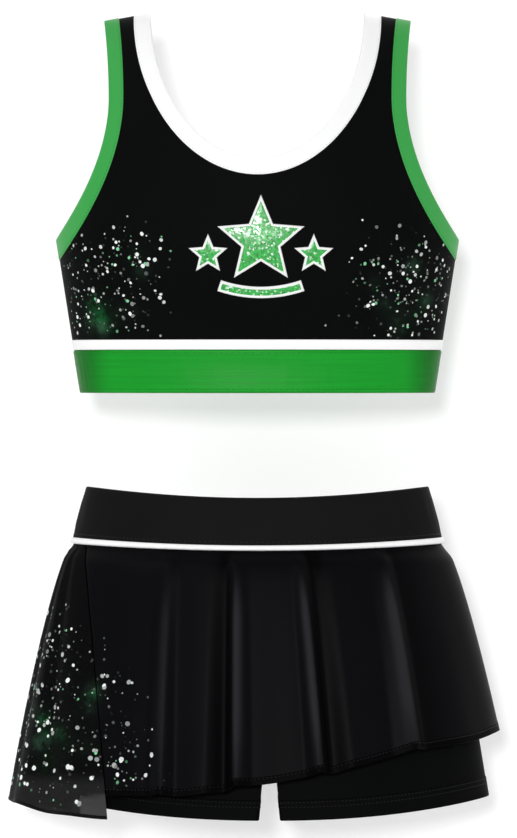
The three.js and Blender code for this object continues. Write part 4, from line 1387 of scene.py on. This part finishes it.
FRONT_FOLDS = ((-132, -118, -0.1), (-104, -106, 0.0), (-88, -97, -0.05), (-76, -84, 0.75), (-64, -72, -0.2),
               (-40, -48, 0.0), (-26, -29, -0.8), (-19, -19, 1.0), (-6, -4, 0.1), (10, 20, 0.0),
               (24, 42, 0.05), (34, 56, 1.0), (43, 68, -0.95), (60, 88, -0.1), (88, 120, 0.0), (104, 140, 1.0),
               (114, 156, -0.5), (135, 187, -0.05), (151, 210, -0.3))
BACK_FOLDS = ((-150, -148, 0.3), (-132, -122, -0.6), (-112, -101, 0.7), (-90, -86, -0.4), (-62, -62, 0.2),
              (-40, -38, -0.8), (-27, -20, 0.9), (-8, 6, -0.2), (16, 30, -0.7), (34, 52, 0.85),
              (52, 78, -0.3), (75, 104, -0.7), (93, 128, 0.8), (112, 150, -0.2), (134, 182, -0.6), (150, 206, 0.4))
MESH_FOLDS = ((0.12, 0.5), (0.24, -0.5), (0.38, 0.9), (0.5, -0.3), (0.62, 0.7), (0.78, -0.8), (0.9, 0.5))


def hanging_panel(face, depth):
    keys = FRONT_FOLDS if face == FRONT else BACK_FOLDS
    turned = [0.0, *(turn_key(*key, face) for key in keys), 0.0]
    edge = face * SIDE_OPENING
    return Hanging(lambda z: face * slit_turn(z, face, SLIT[face] / 2), lambda z: edge, turned,
                   flounce_hem_height, depth, rise=0.0 if face == FRONT else 2.0)


def hanging_mesh(depth):
    def start(z):
        return math.tau - slit_turn(z, FRONT, -SLIT[FRONT] / 2)

    def end(z):
        return slit_turn(z, BACK, -SLIT[BACK] / 2)

    low = -FLOUNCE_DROP
    keys = [(lerp(start(0), end(0), share), lerp(start(low), end(low), share), height)
            for share, height in MESH_FOLDS]
    return Hanging(start, end, [0.0, *keys, 0.0], mesh_hem_height, depth)


def skirt_density(place):
    """How thickly the skort's side is printed: most at the lower outer corner."""
    x, z = place.x, -place.z
    down = smooth(z, 25, 125)
    reach = lerp(-128, -68, smooth(z, 40, 190))
    across = 0.35 * smooth(x, reach, reach - 22) + 0.65 * smooth(x, reach - 16, reach - 58)
    return clamp(down * across * (1 - 0.6 * smooth(z, 196, 222)))


class UNIFORM_OT_flounces(bpy.types.Operator):
    """Makes the front and back flounces with their hems, and the strip inside that carries them"""
    bl_idname = "uniform.flounces"
    bl_label = "Flounces"

    def execute(self, context):
        looks, sizes = context.scene.uniform_colours, context.scene.uniform_cloth
        # crest is the painted highlight colour on the folds' crests, and the hollows get painted shade.
        knit = knit_material("flounce_knit_printed", looks.flounce, 0.45, 0.03, printed=True, cloudiness=0.25,
                             crest=(0.019, 0.019, 0.021))
        # Painted shade: the hem fold is the flounce's own cloth coloured half as light.
        plain = knit_material("flounce_knit", scaled(looks.flounce, 0.5), 0.5, 0.02, cloudiness=0.25)
        for face in (FRONT, BACK):
            name = f"{FACE_NAMES[face]}_flounce"
            cut = hanging_panel(face, sizes.fold_depth / MM)

            def place(u, v, cut=cut):
                return cut.point(u, lerp(-1.2, cut.hem(u) + FLOUNCE_HEM - 2, v))

            def surface(share, across, cut=cut):
                return cut.point(share, cut.hem(share) + across)

            width = 455 if face == FRONT else 490
            # The crest attribute paints highlight on the folds' crests and shade in their hollows.
            paint = {**printed_with(skirt_density, SKIRT_CLOUDS), "crest": cut.crest}
            panel = cloth(f"{name}_knit", 240, 72, place, (width, 214), knit, wall=1.2, paint=paint)
            hang(panel, name, "flounce_knit", f"{name}_panel")
            hem = sweep(f"{name}_hem_fold", 300, rounded(0, FLOUNCE_HEM, -1.5, 0.3, 0.7, rows=2), surface, width,
                        plain, closed=False)
            hang(hem, name, "flounce_knit", f"{name}_hem")
            row = stitches(f"{name}_stitches", surface, FLOUNCE_HEM - 1.6, width, black_thread(),
                           sizes.stitch_pitch / MM, 0.3, closed=False)
            hang(row, name, "flounce_knit")

        def ring(u, v):
            return lifted(flounce_point, math.tau * u, lerp(-DIP_END, -PIPING / 2 - GAP, v), -5.2, FORM_STEPS)

        heading = cloth("flounce_heading_knit", 120, 10, ring, (750, 30), black_knit(printed=False), wall=1.2,
                        closed=True)
        sew(heading, "skort", "flounce_knit", "flounce_heading")
        return {"FINISHED"}


class UNIFORM_OT_side_panel(bpy.types.Operator):
    """Makes the sheer side panel with its narrow binding"""
    bl_idname = "uniform.side_panel"
    bl_label = "Side Panel"

    def execute(self, context):
        looks, sizes = context.scene.uniform_colours, context.scene.uniform_cloth
        # crest is the painted highlight colour on the side panel's folds, and the hollows get painted shade.
        sheer = knit_material("sheer_mesh", looks.sheer, 0.6, 0.02, printed=True, sheer=True,
                              crest=(0.012, 0.012, 0.013))
        # Painted light: the binding is the sheer cloth's colour made lighter, to match the panel's painted
        # see-through tone beside it.
        edge = knit_material("sheer_binding", scaled(looks.sheer, 1.6), 0.55, 0.05)
        cut = hanging_mesh(sizes.mesh_fold_depth / MM)

        def place(u, v):
            return cut.point(u, lerp(-1.2, cut.hem(u) + 1, v))

        def surface(share, across):
            return cut.point(share, cut.hem(share) + across)

        def veil(u, v, here):
            """Painted light: where light would show through the sheer cloth, it is coloured lighter: the lower
            edge, most where nothing lies behind it.
            """
            low = smooth(here.z, -200, -216)
            over, inwards = smooth(here.x, -155.5, -153.5), smooth(here.x, -124.5, -127)
            return clamp(0.27 * low + 0.73 * smooth(here.z, -221.5, -223) * over * inwards)

        # The attributes paint highlight and shade on the folds, and light showing through the sheer cloth along
        # its lower edge.
        paint = {**printed_with(skirt_density, SKIRT_CLOUDS), "crest": cut.crest, "veil": veil}
        panel = cloth("side_mesh_net", 100, 64, place, (240, 236), sheer, wall=0.6, paint=paint)
        hang(panel, "side_mesh", "sheer_mesh", "side_mesh_panel")
        hem = sweep("side_mesh_edge", 150, rounded(0, MESH_BINDING, -1.3, 0.3, 0.6, rows=1), surface, 240, edge,
                    closed=False)
        hang(hem, "side_mesh", "black_knit", "side_mesh_binding")
        return {"FINISHED"}


class UNIFORM_OT_skirt_foil(bpy.types.Operator):
    """Scatters the foil dots over the sheer side panel and the flounce beside it"""
    bl_idname = "uniform.skirt_foil"
    bl_label = "Skirt Foil Dots"

    def execute(self, context):
        sizes = context.scene.uniform_cloth
        silver, green = foils()
        side_cut = hanging_mesh(sizes.mesh_fold_depth / MM)
        front_cut = hanging_panel(FRONT, sizes.fold_depth / MM)
        for seed, (body, cut, share, reach) in enumerate((("side_mesh", side_cut, 1.7, 1.0),
                                                          ("front_flounce", front_cut, 0.24, 0.33))):
            def draw(chance, cut=cut, reach=reach):
                column = chance.uniform(0.01, reach - 0.01)
                z = lerp(-25, cut.hem(column) + 6, chance.random())
                here = cut.point(column, z)
                cluster = 0.3 + 0.7 * smooth(noise.noise(here / 19 + Vector((3, 0, 9))), -0.35, 0.3)
                if chance.random() > (skirt_density(here) * cluster) ** 1.3:
                    return None
                return column, z

            def at(column, z, out, cut=cut):
                return lifted(cut.point, column, z, out * facing(cut.point, -100.0, SWEEP_STEPS), SWEEP_STEPS)

            for tone, material, amount, largest in (("silver", silver, 1.0, 2.9), ("green", green, 0.12, 2.0)):
                dots = foil_dots(f"{body}_foil_{tone}", material, round(sizes.skirt_dots * share * amount),
                                 23 + seed + round(10 * amount), draw, at, (0.7, largest))
                hang(dots, body, "applique_white" if tone == "silver" else "applique_green")
        return {"FINISHED"}


# ------------------------------------------------------------------ stage

def plane(name, width, height, matrix, material):
    bm = bmesh.new()
    bmesh.ops.create_grid(bm, x_segments=1, y_segments=1, size=0.5,
                          matrix=matrix @ Matrix.Diagonal((width, height, 1, 1)))
    obj = object_of(name, bm, material, smooth_faces=False)
    return obj


# Each soft light's name, place in metres, size in metres and power in watts
AREA_LIGHTS = (("key", (-1.9, -1.7, 2.4), 1.2, 22), ("fill", (2.9, -1.2, 0.9), 2.0, 10),
               ("back_fill", (0.8, 2.6, 1.6), 2.0, 60))


def area_light(name, place, size, power):
    data = bpy.data.lights.new(name, "AREA")
    data.shape, data.size, data.energy = "DISK", size, power
    light = bpy.data.objects.new(name, data)
    light.location = place
    light.rotation_euler = (Vector((0, 0, 0.1)) - Vector(place)).to_track_quat("-Z", "Y").to_euler()
    bpy.context.scene.collection.objects.link(light)


class UNIFORM_OT_stage(bpy.types.Operator):
    """Makes the pale floor and wall, the soft lights and the camera"""
    bl_idname = "uniform.stage"
    bl_label = "Stage"

    def execute(self, context):
        scene = context.scene
        low, high = CAD_BOX
        floor, _, shader = finish_of("pale_floor", 0.9)
        shader.inputs["Base Color"].default_value = (0.86, 0.86, 0.86, 1)
        plane("floor", 14, 14, Matrix.Translation((0, 0, low.z - 0.03)), floor)
        wall, tree, shader = finish_of("pale_wall", 0.95, specular=0.0)
        shader.inputs["Base Color"].default_value = (0.5, 0.5, 0.5, 1)
        shader.inputs["Emission Color"].default_value = (1, 1, 1, 1)
        shader.inputs["Emission Strength"].default_value = 0.56
        clear = add(tree, "ShaderNodeBsdfTransparent")
        back = add(tree, "ShaderNodeNewGeometry").outputs["Backfacing"]
        both = add(tree, "ShaderNodeMixShader", {0: back, 1: shader.outputs[0], 2: clear.outputs[0]})
        tree.links.new(both.outputs[0], tree.nodes["Material Output"].inputs[0])
        turned = Matrix.Translation((0, high.y + 0.03, 1.9)) @ Matrix.Rotation(math.pi / 2, 4, "X")
        plane("wall", 14, 4.4, turned, wall).visible_shadow = False
        world = bpy.data.worlds.new("studio") if scene.world is None else scene.world
        scene.world = world
        world.use_nodes = True
        world.node_tree.nodes["Background"].inputs[0].default_value = (1, 1, 1, 1)
        world.node_tree.nodes["Background"].inputs[1].default_value = 0.24
        for light in AREA_LIGHTS:
            area_light(*light)
        sun = bpy.data.lights.new("front_light", "SUN")
        sun.energy, sun.angle = 1.75, math.radians(5.5)
        front = bpy.data.objects.new("front_light", sun)
        front.rotation_euler = Vector((0.07, 1.0, -0.1)).to_track_quat("-Z", "Y").to_euler()
        scene.collection.objects.link(front)
        scene.view_settings.view_transform = "Standard"
        data = bpy.data.cameras.new("camera")
        data.lens, data.sensor_width = 500, 36
        camera = bpy.data.objects.new("camera", data)
        camera.rotation_euler = (math.pi / 2, 0, 0)
        frame_height = 0.7374
        camera.location = (0.0009, -frame_height * data.lens / data.sensor_width, 0.1065)
        data.clip_end = 60
        scene.collection.objects.link(camera)
        scene.camera = camera
        return {"FINISHED"}


# ------------------------------------------------------------------ add-on

OPERATORS = (
    UNIFORM_OT_stage, UNIFORM_OT_top_panels, UNIFORM_OT_neck_binding, UNIFORM_OT_armhole_bindings,
    UNIFORM_OT_underbust_band, UNIFORM_OT_applique, UNIFORM_OT_top_foil, UNIFORM_OT_care_labels,
    UNIFORM_OT_waistband, UNIFORM_OT_shorts, UNIFORM_OT_flounces, UNIFORM_OT_side_panel,
    UNIFORM_OT_skirt_foil,
)


class UNIFORM_PT_pieces(bpy.types.Panel):
    """Lists the uniform's pieces and sizes in the sidebar"""
    bl_label = "Cheer Uniform"
    bl_space_type = "VIEW_3D"
    bl_region_type = "UI"
    bl_category = "Uniform"

    def draw(self, context):
        for settings in (context.scene.uniform_colours, context.scene.uniform_cloth):
            for name in settings.__annotations__:
                self.layout.prop(settings, name)
        for operator in OPERATORS:
            self.layout.operator(operator.bl_idname)


CLASSES = (UniformColours, UniformCloth, *OPERATORS, UNIFORM_PT_pieces)


def register():
    for cls in CLASSES:
        bpy.utils.register_class(cls)
    bpy.types.Scene.uniform_colours = PointerProperty(type=UniformColours)
    bpy.types.Scene.uniform_cloth = PointerProperty(type=UniformCloth)


def unregister():
    del bpy.types.Scene.uniform_colours
    del bpy.types.Scene.uniform_cloth
    for cls in reversed(CLASSES):
        bpy.utils.unregister_class(cls)


def main():
    register()
    for operator in OPERATORS:
        category, name = operator.bl_idname.split(".")
        getattr(getattr(bpy.ops, category), name)()


if __name__ == "__main__":
    main()
